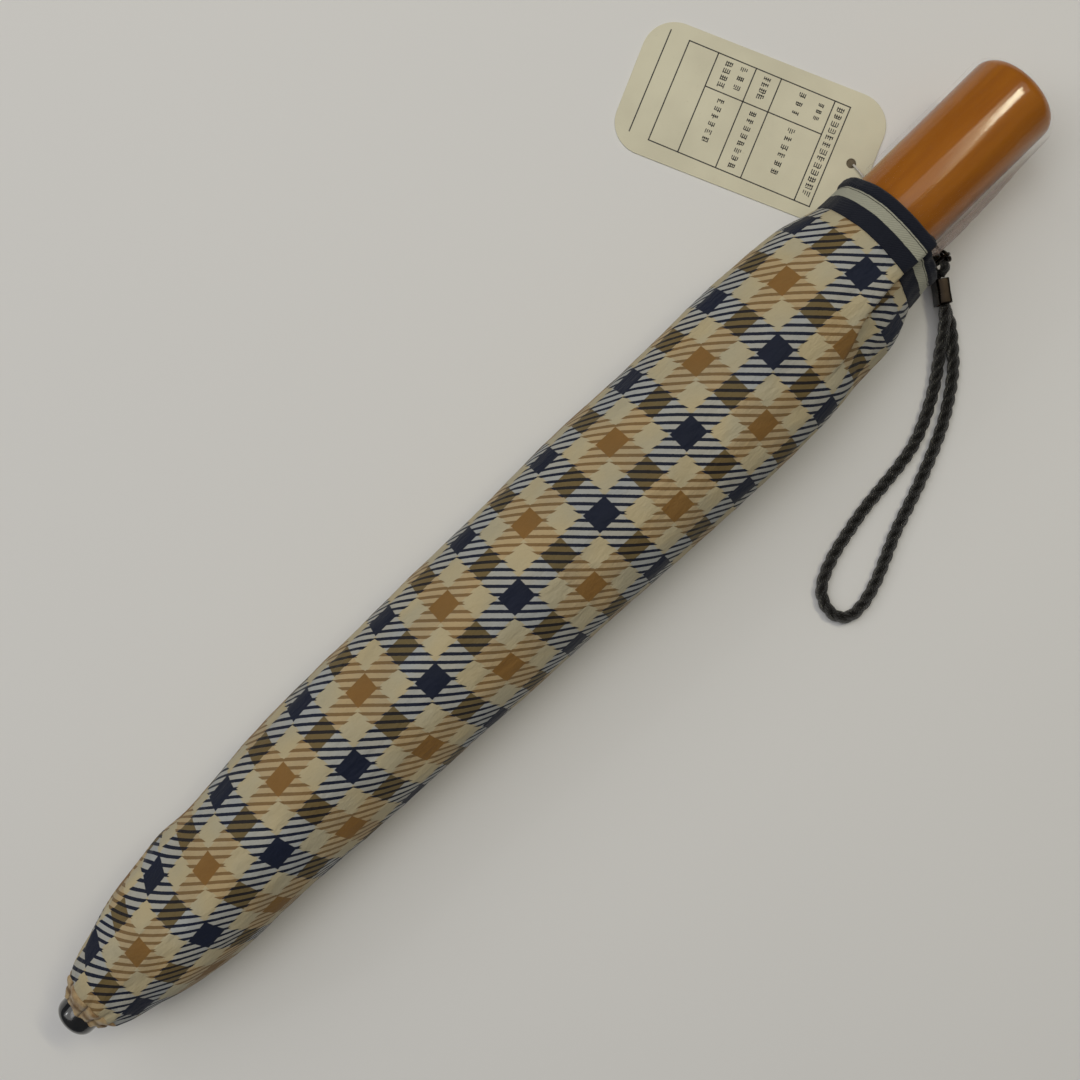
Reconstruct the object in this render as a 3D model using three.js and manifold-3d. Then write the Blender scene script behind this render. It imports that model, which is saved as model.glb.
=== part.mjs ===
// Two-section folding umbrella lying in its printed sleeve, with a wrist cord and a card hang tag.
// Millimetres, +Z up. The shaft runs along X with the handle at +X, and the sleeve rests on z = 0.
// Lengths and places are given from a point on the table under the shaft's axis, and the finished
// group is moved by ORIGIN_SHIFT to put the origin under the middle of the object.
import * as THREE from 'three';
import { mergeVertices } from 'three/addons/utils/BufferGeometryUtils.js';
import Module from 'manifold-3d';

const wasm = await Module();
wasm.setup();

// Driving dimensions.
const ORIGIN_SHIFT = new THREE.Vector3(-1.4, 2.7, 0);
const AXIS_Z = 20.5;             // height of the shaft's axis above the table
const GAP = 0.3;                 // clearance between touching pieces
const RIB_COUNT = 8;

const HANDLE_RADIUS = 13;
const HANDLE_START = 116.3;
const HANDLE_END = 181;
const HANDLE_ROUNDING = 4;
const HANDLE_SHOULDER = { x: 120, radius: 11.4 };
const COLLAR = { start: 114, radius: 11 };

const LOWER_TUBE = { start: -118, end: 146, outer: 4.2, inner: 3.6 };
const UPPER_TUBE = { start: -167, end: 111, outer: 5.1, inner: 4.5 };

const FERRULE_TIP = -178;
const FERRULE_RADIUS = 5.8;
const FERRULE_DOME_START = -174;
const FERRULE_END = -159.6;
const BUSHING = { end: 113.6, radius: 5.9 };

const NOTCH = { start: -159.2, end: -152.8, outer: 9.0, slotFloor: 6.1, wireRing: 7.7 };
const RUNNER = { crownStart: 86.5, crownEnd: 93, end: 107.5, outer: 8.0, slotFloor: 5.9, wireRing: 7.2 };
const RUNNER_GRIP_RADIUS = 6.4;
const WIRE_RADIUS = 0.4;
const WIRE_HOLE_RADIUS = 0.7;
const WIRE_SIDES = 16;

const RIB_WIDTH = 1.8;
const INNER_RIB = { low: 8.7, high: 10.1, end: 110 };
const OUTER_RIB = { low: 10.4, high: 11.8, tip: -128, elbow: 112.6 };
const STRETCHER = { low: 6.7, high: 8.2, end: -22 };
const EYE_RADIUS = 1.3;

const CATCH_ANGLE = Math.PI / RIB_COUNT;   // the spring catches sit between two ribs
const CATCH_WIDTH = 2;
const LOWER_CATCH = { start: -112, end: -104, low: 2.4 };
const TOP_CATCH = { start: -140, end: -128, low: 3.4, blade: 4.6, top: 7, hook: 2, slope: 8 };

const FILM = { start: 140, wall: 0.45, strapFin: 2.6, tagFin: 0.9 };

const SLEEVE_WALL = 0.8;
const GATHER_END = -168;

const EYE = { x: 136.6, y: -17.7, z: 17.9, ring: 1.7, wire: 0.45, shankEnd: -10.4 };
const SCREW_HOLE = { radius: 0.9, depth: 5 };
const RING = {
  x: 136.6, y: -18.05, z: 14, halfWidth: 2.05, halfHeight: 3.2, wire: 0.5, turn: -0.15, lean: 0.11,
};
const CORD_RADIUS = 1.8;
const NECK_RADIUS = 1.3;
const CLASP = { length: 7, width: 3.8, height: 6.8, lift: 0.2, turn: 1.3 * Math.PI };
const CLASP_MOUTH = [135.8, -22.1];

const TAG = { length: 73.4, width: 39.4, corner: 9.5, thickness: 0.4, holeRadius: 1.4, holeInset: 5.9 };
const TAG_HOLE = new THREE.Vector2(142, 18.65);
const TAG_TURN = 1.992;          // direction from the hole to the tag's far end, in radians from +X
const THREAD_RADIUS = 0.3;

// The sleeve's cross-sections: [x, centre y, half width, centre z, half height].
const SLEEVE_SECTIONS = [
  [-167.7, -0.3, 9.4, 20.5, 9.0],
  [-163, 0, 11.6, 20.5, 11.2],
  [-156, 0.1, 13.4, 20.3, 13.1],
  [-149, 0.1, 15.6, 19.9, 15.3],
  [-142, 0.1, 17.1, 19.5, 17.0],
  [-129, 0.2, 18.7, 19.0, 18.8],
  [-115, 0.3, 18.9, 18.6, 19.8],
  [-88, 0.6, 20.6, 18.6, 20.5],
  [-61, 0.2, 21.6, 18.7, 21.0],
  [-34, -0.7, 22.4, 18.8, 21.2],
  [-7, -1.4, 23.0, 18.9, 21.4],
  [19, -2.2, 23.8, 18.9, 21.6],
  [46, -2.8, 24.1, 18.9, 21.8],
  [73, -3.1, 24.1, 18.9, 21.8],
  [87, -3.1, 23.7, 19.0, 21.5],
  [100, -2.9, 22.7, 19.3, 20.8],
  [108, -2.6, 21.6, 19.8, 20.0],
  [114, -2.6, 19.9, 20.2, 19.2],
  [119, -2.5, 18.4, 20.4, 18.9],
];
const BAND_SECTIONS = [
  [119.3, -2.5, 18.2, 20.4, 18.7],
  [124, -2.4, 17.9, 20.5, 18.3],
  [130.9, -2.3, 17.8, 20.6, 18.0],
];
const SLEEVE_SIDES = 28;

// The folded canopy's outline: [x, radius]. Its middle sags to -Y by CANOPY_SAG.
const CANOPY_OUTSIDE = [
  [-163, 7.6], [-160, 9.7], [-156, 11.1], [-148, 13.0], [-142, 13.9], [-130, 14.4], [-112, 14.5],
  [-60, 14.9], [-20, 15.2], [77, 15.2], [81, 14.3], [97, 14.3], [101, 15.2], [107, 15.1], [112, 14.6],
];
const CANOPY_INSIDE = [
  [112, 13.3], [-138, 13.1], [-146, 11.4], [-152, 10.0], [-159.4, 9.4], [-160.2, 6.2], [-163, 6.1],
];
const CANOPY_SAG = 0.8;
const CANOPY_SIDES = 20;
const TIE_STRAP = { start: 82, end: 96, inner: 14.5, outer: 15.2 };
const TIE_SNAP = { top: 3.4, bottom: 3.6, thickness: 0.5 };

const group = new THREE.Group();
group.name = 'folding_umbrella';
group.position.copy(ORIGIN_SHIFT);

// Each finish is [colour, roughness, metalness].
const FINISHES = {
  lacquer: [0x8a4312, 0.28, 0],
  film: [0xe8ded6, 0.15, 0],
  darkChrome: [0x2c2a2a, 0.25, 1],
  nickel: [0xb9bcc0, 0.3, 1],
  blackGloss: [0x08090c, 0.12, 0],
  blackPlastic: [0x17181a, 0.5, 0],
  print: [0xc6bd9f, 0.8, 0],
  navy: [0x1c2640, 0.8, 0],
  beige: [0xb49c74, 0.85, 0],
  cord: [0x0d0c0d, 0.45, 0],
  card: [0xd8d3bb, 0.8, 0],
  thread: [0xd5d0c8, 0.5, 0],
};

function addPart(parent, name, geometry, finish) {
  const [color, roughness, metalness] = FINISHES[finish];
  const material = new THREE.MeshStandardMaterial({ color, roughness, metalness });
  const mesh = new THREE.Mesh(geometry, material);
  mesh.name = name;
  parent.add(mesh);
  return mesh;
}

// Booleans: a closed geometry as a solid, and a solid as a geometry.
function solidOf(geometry) {
  const bare = geometry.clone();
  bare.deleteAttribute('normal');
  bare.deleteAttribute('uv');
  const merged = mergeVertices(bare, 1e-4);
  return new wasm.Manifold(new wasm.Mesh({
    numProp: 3,
    vertProperties: merged.attributes.position.array,
    triVerts: new Uint32Array(merged.index.array),
  }));
}

function geometryOf(solid) {
  const mesh = solid.getMesh();
  const geometry = new THREE.BufferGeometry();
  geometry.setAttribute('position', new THREE.BufferAttribute(mesh.vertProperties, 3));
  geometry.setIndex(new THREE.BufferAttribute(mesh.triVerts, 1));
  geometry.computeVertexNormals();
  return geometry;
}

function cut(geometry, ...tools) {
  let solid = solidOf(geometry);
  for (const tool of tools) {
    solid = solid.subtract(solidOf(tool));
  }
  return geometryOf(solid);
}

function join(geometry, ...others) {
  let solid = solidOf(geometry);
  for (const other of others) {
    solid = solid.add(solidOf(other));
  }
  return geometryOf(solid);
}

// A profile of [x, radius] points turned about the X axis. The points run from +X to -X along the
// outside and back along the inside, or start and end on the axis.
function turned(profile, sides) {
  const points = profile.map(([x, radius]) => new THREE.Vector2(radius, -x));
  const geometry = new THREE.LatheGeometry(points, sides);
  geometry.rotateZ(Math.PI / 2);
  return geometry;
}

function ring(startX, endX, inner, outer, sides = 24) {
  return turned([[endX, inner], [endX, outer], [startX, outer], [startX, inner], [endX, inner]], sides);
}

function torusAboutX(x, radius, tube, sides) {
  const geometry = new THREE.TorusGeometry(radius, tube, 6, sides);
  geometry.rotateY(Math.PI / 2);
  geometry.translate(x, 0, 0);
  return geometry;
}

// Moves the vertices of a closed geometry: move receives a Vector3 and changes it.
function warped(geometry, move) {
  const position = geometry.attributes.position;
  const point = new THREE.Vector3();
  for (let i = 0; i < position.count; i++) {
    point.fromBufferAttribute(position, i);
    move(point);
    position.setXYZ(i, point.x, point.y, point.z);
  }
  geometry.computeVertexNormals();
  return geometry;
}

function tubeAlong(points, radius, sides, steps) {
  const outline = new THREE.Shape();
  for (let i = 0; i < sides; i++) {
    const angle = (2 * Math.PI * i) / sides;
    const corner = [radius * Math.cos(angle), radius * Math.sin(angle)];
    if (i === 0) {
      outline.moveTo(...corner);
    } else {
      outline.lineTo(...corner);
    }
  }
  const path = new THREE.CatmullRomCurve3(points.map((point) => new THREE.Vector3(...point)));
  return new THREE.ExtrudeGeometry(outline, { extrudePath: path, steps, bevelEnabled: false });
}

// A flat bar cut from strip: its side outline is drawn in X and radius, and it is width thick.
function bar(outline, width) {
  const options = { depth: width, bevelEnabled: false, curveSegments: 4 };
  const geometry = new THREE.ExtrudeGeometry(outline, options);
  geometry.rotateX(Math.PI / 2);
  geometry.translate(0, width / 2, 0);
  return geometry;
}

function polygon(corners) {
  return new THREE.Shape(corners.map(([x, y]) => new THREE.Vector2(x, y)));
}

function wireHole(x, radius) {
  const hole = new THREE.Path();
  hole.absarc(x, radius, WIRE_HOLE_RADIUS, 0, 2 * Math.PI, true);
  return hole;
}

// A hollow loft with a wall: sections as in SLEEVE_SECTIONS, laid flat where they would pass the table.
function sleeveLoft(sections, wall) {
  const last = sections.length - 1;
  const profile = [];
  sections.forEach((section, row) => profile.push([last - row, 2]));
  sections.forEach((section, row) => profile.push([row, 1]));
  profile.push([last, 2]);
  const geometry = turned(profile, SLEEVE_SIDES);
  return warped(geometry, (point) => {
    const [x, centreY, halfWidth, centreZ, halfHeight] = sections[Math.round(point.x)];
    const outside = Math.hypot(point.y, point.z) > 1.5;
    const inset = outside ? 0 : wall;
    const angle = Math.atan2(point.z, point.y);
    point.x = x;
    point.y = centreY + (halfWidth - inset) * Math.cos(angle);
    point.z = Math.max(centreZ + (halfHeight - inset) * Math.sin(angle), inset);
  });
}

// Everything below is drawn about the shaft's axis, and the shaft group lifts it to AXIS_Z.
const shaft = new THREE.Group();
shaft.position.z = AXIS_Z;
group.add(shaft);

// The outline of the handle's rounded end, from its flat face to its side, grown outwards by offset.
function roundedEnd(offset) {
  const steps = 6;
  const radius = HANDLE_ROUNDING + offset;
  const points = [[HANDLE_END + offset, 0]];
  for (let i = 0; i <= steps; i++) {
    const angle = (Math.PI / 2) * (i / steps);
    points.push([
      HANDLE_END - HANDLE_ROUNDING + radius * Math.cos(angle),
      HANDLE_RADIUS - HANDLE_ROUNDING + radius * Math.sin(angle),
    ]);
  }
  return points;
}

// Handle: a turned cylinder with a rounded end and a bore for the lower tube.
function makeHandle() {
  const bore = LOWER_TUBE.outer + GAP;
  const boreEnd = LOWER_TUBE.end + GAP;
  const profile = [
    ...roundedEnd(0), [HANDLE_SHOULDER.x, HANDLE_RADIUS], [HANDLE_START, HANDLE_SHOULDER.radius],
    [HANDLE_START, bore], [boreEnd, bore], [boreEnd, 0],
  ];
  const { radius, depth } = SCREW_HOLE;
  const screwHole = new THREE.CylinderGeometry(radius, radius, depth, 12);
  screwHole.translate(EYE.x, EYE.shankEnd + GAP - depth / 2, EYE.z - AXIS_Z);
  return cut(turned(profile, 28), screwHole);
}
addPart(shaft, 'handle', makeHandle(), 'lacquer');
const collar = ring(COLLAR.start, HANDLE_START - GAP, LOWER_TUBE.outer + GAP, COLLAR.radius);
addPart(shaft, 'handle_collar', collar, 'nickel');

// Film bag over the handle, open towards the sleeve, with a sealed fin on each side.
function makeFilm() {
  const inside = HANDLE_RADIUS + GAP;
  const profile = [
    ...roundedEnd(GAP + FILM.wall), [FILM.start, inside + FILM.wall],
    [FILM.start, inside], ...roundedEnd(GAP).reverse(),
  ];
  return warped(turned(profile, 20), (point) => {
    const radius = Math.hypot(point.y, point.z);
    if (radius < inside - 1) {
      return;
    }
    const side = point.y / radius;
    const fin = (side < 0 ? FILM.strapFin : FILM.tagFin) * Math.pow(side, 12);
    point.y *= 1 + fin / radius;
    point.z *= 1 + fin / radius;
  });
}
addPart(shaft, 'handle_film', makeFilm(), 'film');

// Screw eye in the handle's side: its loop stands in the YZ plane and its shank runs along Y.
function makeScrewEye() {
  const loop = new THREE.TorusGeometry(EYE.ring, EYE.wire, 6, 18);
  loop.rotateY(Math.PI / 2);
  loop.translate(EYE.x, EYE.y, EYE.z);
  const shankStart = EYE.y + EYE.ring;
  const shank = new THREE.CylinderGeometry(EYE.wire, EYE.wire, EYE.shankEnd - shankStart, 10);
  shank.translate(EYE.x, (EYE.shankEnd + shankStart) / 2, EYE.z);
  return join(loop, shank);
}
addPart(group, 'strap_eye', makeScrewEye(), 'darkChrome');

// A slot through a tube's wall for a spring catch, and the catch itself.
function catchBox(startX, endX, low, high, width) {
  const box = new THREE.BoxGeometry(endX - startX, width, high - low);
  box.translate((startX + endX) / 2, 0, (low + high) / 2);
  return box;
}

function makeTube({ start, end, outer, inner }, slotStart, slotEnd) {
  const slot = catchBox(slotStart - GAP, slotEnd + GAP, inner - 2, outer + 2, CATCH_WIDTH + 2 * GAP);
  slot.rotateX(CATCH_ANGLE);
  return cut(ring(start, end, inner, outer), slot);
}
addPart(shaft, 'lower_tube', makeTube(LOWER_TUBE, LOWER_CATCH.start, LOWER_CATCH.end), 'nickel');
addPart(shaft, 'upper_tube', makeTube(UPPER_TUBE, TOP_CATCH.start, TOP_CATCH.end), 'nickel');

const lowerCatch = catchBox(
  LOWER_CATCH.start, LOWER_CATCH.end, LOWER_CATCH.low, LOWER_TUBE.outer - 0.1, CATCH_WIDTH,
);
lowerCatch.rotateX(CATCH_ANGLE);
addPart(shaft, 'lower_catch', lowerCatch, 'nickel');

const catchOutline = polygon([
  [TOP_CATCH.start, TOP_CATCH.low], [TOP_CATCH.end, TOP_CATCH.low], [TOP_CATCH.end, TOP_CATCH.blade],
  [TOP_CATCH.end - TOP_CATCH.slope, TOP_CATCH.top],
  [TOP_CATCH.end - TOP_CATCH.slope - TOP_CATCH.hook, TOP_CATCH.top],
  [TOP_CATCH.end - TOP_CATCH.slope - TOP_CATCH.hook, TOP_CATCH.blade],
  [TOP_CATCH.start, TOP_CATCH.blade],
]);
const topCatch = bar(catchOutline, CATCH_WIDTH);
topCatch.rotateX(CATCH_ANGLE);
addPart(shaft, 'top_catch', topCatch, 'nickel');

const bushing = ring(UPPER_TUBE.end + GAP, BUSHING.end, UPPER_TUBE.inner, BUSHING.radius);
addPart(shaft, 'tube_bushing', bushing, 'blackPlastic');

// Ferrule: a domed cap with a groove, bored for the end of the upper tube.
function makeFerrule() {
  const profile = [[FERRULE_END, UPPER_TUBE.outer + GAP], [FERRULE_END, FERRULE_RADIUS]];
  profile.push([FERRULE_DOME_START, FERRULE_RADIUS]);
  const steps = 6;
  const depth = FERRULE_DOME_START - FERRULE_TIP;
  for (let i = 1; i < steps; i++) {
    const angle = (Math.PI / 2) * (i / steps);
    profile.push([FERRULE_DOME_START - depth * Math.sin(angle), FERRULE_RADIUS * Math.cos(angle)]);
  }
  const boreEnd = UPPER_TUBE.start - GAP;
  profile.push([FERRULE_TIP, 0], [boreEnd, 0], [boreEnd, UPPER_TUBE.outer + GAP]);
  profile.push([FERRULE_END, UPPER_TUBE.outer + GAP]);
  return turned(profile, 20);
}
addPart(shaft, 'ferrule', makeFerrule(), 'blackGloss');

// A toothed crown: a ring with one slot for each rib and a groove for the wire that holds the ribs.
function crown(startX, endX, outer, slotFloor, wireX, wireRing) {
  const slots = [];
  for (let i = 0; i < RIB_COUNT; i++) {
    const slot = new THREE.BoxGeometry(endX - startX + 2, RIB_WIDTH + 2 * GAP, outer);
    slot.translate((startX + endX) / 2, 0, slotFloor + outer / 2);
    slot.rotateX((2 * Math.PI * i) / RIB_COUNT);
    slots.push(slot);
  }
  const groove = torusAboutX(wireX, wireRing, WIRE_HOLE_RADIUS, WIRE_SIDES);
  return cut(ring(startX, endX, UPPER_TUBE.outer + GAP, outer), ...slots, groove);
}
const NOTCH_WIRE_X = (NOTCH.start + NOTCH.end) / 2;
const RUNNER_WIRE_X = 89.2;
addPart(
  shaft, 'top_notch',
  crown(NOTCH.start, NOTCH.end, NOTCH.outer, NOTCH.slotFloor, NOTCH_WIRE_X, NOTCH.wireRing), 'blackPlastic',
);
addPart(shaft, 'notch_wire', torusAboutX(NOTCH_WIRE_X, NOTCH.wireRing, WIRE_RADIUS, WIRE_SIDES), 'nickel');

const runnerCrown = crown(
  RUNNER.crownStart, RUNNER.crownEnd, RUNNER.outer, RUNNER.slotFloor, RUNNER_WIRE_X, RUNNER.wireRing,
);
const runnerGrip = ring(RUNNER.crownEnd - 1, RUNNER.end, UPPER_TUBE.outer + GAP, RUNNER_GRIP_RADIUS);
addPart(shaft, 'runner', join(runnerCrown, runnerGrip), 'blackPlastic');
addPart(shaft, 'runner_wire', torusAboutX(RUNNER_WIRE_X, RUNNER.wireRing, WIRE_RADIUS, WIRE_SIDES), 'nickel');

// Inner rib: an eye on the notch wire, a short slope and a straight strip to the knuckle.
function innerRibOutline() {
  const outline = polygon([
    [NOTCH_WIRE_X, NOTCH.wireRing - EYE_RADIUS + 0.3], [NOTCH_WIRE_X + 1.1, NOTCH.wireRing - 0.6],
    [-140, INNER_RIB.low], [INNER_RIB.end, INNER_RIB.low], [INNER_RIB.end, INNER_RIB.high],
    [-140, INNER_RIB.high], [NOTCH_WIRE_X, NOTCH.wireRing + EYE_RADIUS],
    [NOTCH_WIRE_X - 1.1, NOTCH.wireRing + 0.7], [NOTCH_WIRE_X - 1.1, NOTCH.wireRing - 0.7],
  ]);
  outline.holes.push(wireHole(NOTCH_WIRE_X, NOTCH.wireRing));
  return outline;
}

// Outer rib: a strip folded back over the inner rib, with an elbow that closes the knuckle.
function outerRibOutline() {
  return polygon([
    [OUTER_RIB.tip, OUTER_RIB.low], [INNER_RIB.end + GAP, OUTER_RIB.low],
    [INNER_RIB.end + GAP, INNER_RIB.low], [OUTER_RIB.elbow, INNER_RIB.low],
    [OUTER_RIB.elbow, OUTER_RIB.high], [OUTER_RIB.tip, OUTER_RIB.high],
  ]);
}

// Stretcher: an eye on the runner wire and a strip to the middle of the inner rib.
function stretcherOutline() {
  const outline = polygon([
    [STRETCHER.end, STRETCHER.low], [RUNNER_WIRE_X - 2, STRETCHER.low], [RUNNER_WIRE_X, RUNNER.wireRing - 1],
    [RUNNER_WIRE_X + 1.2, RUNNER.wireRing - 0.6], [RUNNER_WIRE_X + 1.2, RUNNER.wireRing + 0.6],
    [RUNNER_WIRE_X, RUNNER.wireRing + 1.1], [STRETCHER.end, STRETCHER.high],
  ]);
  outline.holes.push(wireHole(RUNNER_WIRE_X, RUNNER.wireRing));
  return outline;
}

function makeRibTip() {
  const start = OUTER_RIB.tip - GAP;
  const radius = 1.1;
  const tip = turned([
    [start, 0], [start, radius], [start - 6, radius], [start - 8, 0.9], [start - 8.8, 0],
  ], 8);
  tip.translate(0, 0, OUTER_RIB.low + radius + 0.1);
  return tip;
}

for (let i = 0; i < RIB_COUNT; i++) {
  const sector = new THREE.Group();
  sector.rotation.x = (2 * Math.PI * i) / RIB_COUNT;
  shaft.add(sector);
  addPart(sector, `inner_rib_${i + 1}`, bar(innerRibOutline(), RIB_WIDTH), 'nickel');
  addPart(sector, `outer_rib_${i + 1}`, bar(outerRibOutline(), RIB_WIDTH), 'nickel');
  addPart(sector, `stretcher_${i + 1}`, bar(stretcherOutline(), RIB_WIDTH), 'nickel');
  addPart(sector, `rib_tip_${i + 1}`, makeRibTip(), 'nickel');
}

// Folded canopy: a thick bundle of cloth round the frame, open at the handle end.
function sagAt(x) {
  return CANOPY_SAG * THREE.MathUtils.smoothstep(x, -130, -40);
}

function makeCanopy() {
  const outside = [...CANOPY_OUTSIDE].reverse();
  const profile = [CANOPY_INSIDE[0], ...outside, ...[...CANOPY_INSIDE].reverse()];
  return warped(turned(profile, CANOPY_SIDES), (point) => {
    point.y -= sagAt(point.x);
  });
}
addPart(shaft, 'canopy', makeCanopy(), 'print');

const tieStrap = ring(TIE_STRAP.start, TIE_STRAP.end, TIE_STRAP.inner, TIE_STRAP.outer, CANOPY_SIDES);
tieStrap.translate(0, -CANOPY_SAG, 0);
addPart(shaft, 'tie_strap', tieStrap, 'print');

const tieSnap = new THREE.CylinderGeometry(TIE_SNAP.top, TIE_SNAP.bottom, TIE_SNAP.thickness, 20);
tieSnap.rotateX(Math.PI / 2);
tieSnap.translate(
  (TIE_STRAP.start + TIE_STRAP.end) / 2, -CANOPY_SAG, TIE_STRAP.outer + GAP + TIE_SNAP.thickness / 2,
);
addPart(shaft, 'tie_snap', tieSnap, 'nickel');

// Sleeve: a loose fabric tube flattened where it rests, its hem band and its gathered end.
addPart(group, 'sleeve', sleeveLoft(SLEEVE_SECTIONS, SLEEVE_WALL), 'print');
addPart(group, 'sleeve_band', sleeveLoft(BAND_SECTIONS, SLEEVE_WALL), 'navy');

const gatherProfile = [
  [GATHER_END, 6.2], [GATHER_END, 8.9], [-171, 8.2], [-174.5, 7.2], [-174.5, 6.2], [GATHER_END, 6.2],
];
addPart(shaft, 'sleeve_gather', turned(gatherProfile, 24), 'beige');

// Oval link that hangs from the eye, upright and nearly in line with the shaft.
class Oval extends THREE.Curve {
  getPoint(t) {
    const angle = 2 * Math.PI * t;
    return new THREE.Vector3(RING.halfWidth * Math.cos(angle), 0, RING.halfHeight * Math.sin(angle));
  }
}
const strapRing = new THREE.TubeGeometry(new Oval(), 28, RING.wire, 6, true);
strapRing.rotateX(-RING.lean);
strapRing.rotateZ(RING.turn);
strapRing.translate(RING.x, RING.y, RING.z);
addPart(group, 'strap_ring', geometryOf(solidOf(strapRing)), 'darkChrome');

// Cord neck: a short bight of cord through the link, with both ends in the clasp.
const NECK_ROUTE = [
  [136.15, -21.55, 4.9], [136.6, -21.1, 5.8], [136.9, -20.9, 7.4], [136.9, -20.7, 9.6], [136.8, -20.0, 11.9],
  [136.7, -18.3, 13.0], [136.6, -16.5, 11.6], [136.5, -16.2, 9.2], [136.4, -16.9, 6.6], [136.3, -18.2, 4.3],
  [136.5, -20.0, 2.5], [136.15, -21.55, 2.1],
];
addPart(group, 'cord_neck', tubeAlong(NECK_ROUTE, NECK_RADIUS, 8, 26), 'cord');

// Clasp: a folded box crimp, with its mouth towards the ring.
const clasp = new THREE.BoxGeometry(CLASP.length, CLASP.width, CLASP.height);
const claspReach = CLASP.length / 2 + GAP;
clasp.rotateZ(CLASP.turn);
clasp.translate(
  CLASP_MOUTH[0] + claspReach * Math.cos(CLASP.turn),
  CLASP_MOUTH[1] + claspReach * Math.sin(CLASP.turn),
  CLASP.height / 2 + CLASP.lift,
);
addPart(group, 'cord_clasp', clasp, 'darkChrome');

// Wrist cord: one long loop lying on the table, both ends in the clasp's far face, one above the other.
const CORD_ROUTE = [
  [131.5, -28.9, 1.9], [130.9, -30.8, 1.9], [129.2, -34.0, 1.9], [126.1, -37.9, 1.9], [121.4, -43.0, 1.9],
  [115.2, -47.8, 1.9], [108.0, -52.3, 1.9], [99.6, -56.3, 1.9], [90.8, -59.9, 1.9], [83.7, -62.4, 1.9],
  [77.0, -64.8, 1.9], [70.6, -67.7, 1.9], [65.2, -70.1, 1.9], [60.1, -71.9, 1.9], [55.7, -72.8, 1.9],
  [51.4, -72.5, 1.9], [48.8, -69.9, 1.9], [48.6, -65.9, 1.9], [50.7, -61.9, 1.9], [54.5, -59.3, 1.9],
  [60.8, -56.9, 1.9], [68.1, -55.2, 1.9], [76.0, -53.7, 1.9], [84.0, -52.8, 1.9], [91.6, -51.9, 1.9],
  [98.5, -50.5, 1.9], [105.2, -47.8, 1.9], [111.4, -44.5, 1.9], [116.4, -41.2, 2.1], [121.0, -37.5, 2.9],
  [124.4, -34.7, 4.2], [127.4, -32.2, 4.9], [129.8, -29.8, 5.3], [130.8, -28.3, 5.4],
];
addPart(group, 'wrist_cord', tubeAlong(CORD_ROUTE, CORD_RADIUS, 8, 40), 'cord');

// Hang tag: a card with round corners and a punched hole, flat on the table beside the handle.
function makeTag() {
  const { length, width, corner } = TAG;
  const left = -TAG.holeInset;
  const outline = new THREE.Shape();
  outline.moveTo(left + corner, -width / 2);
  outline.lineTo(left + length - corner, -width / 2);
  outline.absarc(left + length - corner, -width / 2 + corner, corner, -Math.PI / 2, 0, false);
  outline.absarc(left + length - corner, width / 2 - corner, corner, 0, Math.PI / 2, false);
  outline.absarc(left + corner, width / 2 - corner, corner, Math.PI / 2, Math.PI, false);
  outline.absarc(left + corner, -width / 2 + corner, corner, Math.PI, 1.5 * Math.PI, false);
  const hole = new THREE.Path();
  hole.absarc(0, 0, TAG.holeRadius, 0, 2 * Math.PI, true);
  outline.holes.push(hole);
  const options = { depth: TAG.thickness, bevelEnabled: false, curveSegments: 6 };
  const card = new THREE.ExtrudeGeometry(outline, options);
  card.rotateZ(TAG_TURN);
  card.translate(TAG_HOLE.x, TAG_HOLE.y, 0);
  return card;
}
addPart(group, 'hang_tag', makeTag(), 'card');

// Thread from the tag's hole, under the handle, to the bottom of the link.
const THREAD_ROUTE = [
  [142.0, 18.05, 0.8], [141.8, 15.7, 1.0], [141.4, 12.4, 0.9], [140.9, 8.5, 0.6], [140.4, 4.0, 0.5],
  [140.0, -1.0, 0.5], [139.6, -6.0, 0.5], [139.2, -10.5, 0.8], [138.9, -14.3, 2.2], [138.8, -17.0, 5.2],
  [138.0, -18.2, 8.4], [136.9, -18.4, 9.9],
];
addPart(group, 'tag_thread', tubeAlong(THREAD_ROUTE, THREAD_RADIUS, 6, 32), 'thread');

export default group;
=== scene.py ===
import math
import random

import bmesh
import bpy
from mathutils import Matrix, Vector, noise
from mathutils.bvhtree import BVHTree


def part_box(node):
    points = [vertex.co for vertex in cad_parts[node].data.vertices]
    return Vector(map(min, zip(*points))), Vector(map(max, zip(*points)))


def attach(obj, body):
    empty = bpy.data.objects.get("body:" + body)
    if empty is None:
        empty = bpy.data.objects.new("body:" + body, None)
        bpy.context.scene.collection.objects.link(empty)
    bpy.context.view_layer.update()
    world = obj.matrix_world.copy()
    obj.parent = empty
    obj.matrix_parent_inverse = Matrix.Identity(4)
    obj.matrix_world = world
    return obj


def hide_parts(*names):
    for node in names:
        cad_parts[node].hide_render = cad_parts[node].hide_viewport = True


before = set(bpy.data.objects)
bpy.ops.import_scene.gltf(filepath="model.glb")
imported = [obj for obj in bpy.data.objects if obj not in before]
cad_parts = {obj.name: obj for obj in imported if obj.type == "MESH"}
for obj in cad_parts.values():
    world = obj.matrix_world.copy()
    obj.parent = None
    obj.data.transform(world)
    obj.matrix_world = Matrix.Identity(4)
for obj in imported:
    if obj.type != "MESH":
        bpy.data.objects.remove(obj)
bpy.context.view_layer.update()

MM = 0.001
FRAME_SHIFT = Vector((-1.4, 2.7, 0))
AXIS_Z = 20.5
TAU = 2 * math.pi

CAMERA_PLACE = Vector((4, 4.2, 398))
CAMERA_TURN = -44.44
CAMERA_LENS = 46.67

CORD_DIAMETER = 3.6
NECK_DIAMETER = 2.6
THREAD_DIAMETER = 0.6

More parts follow.
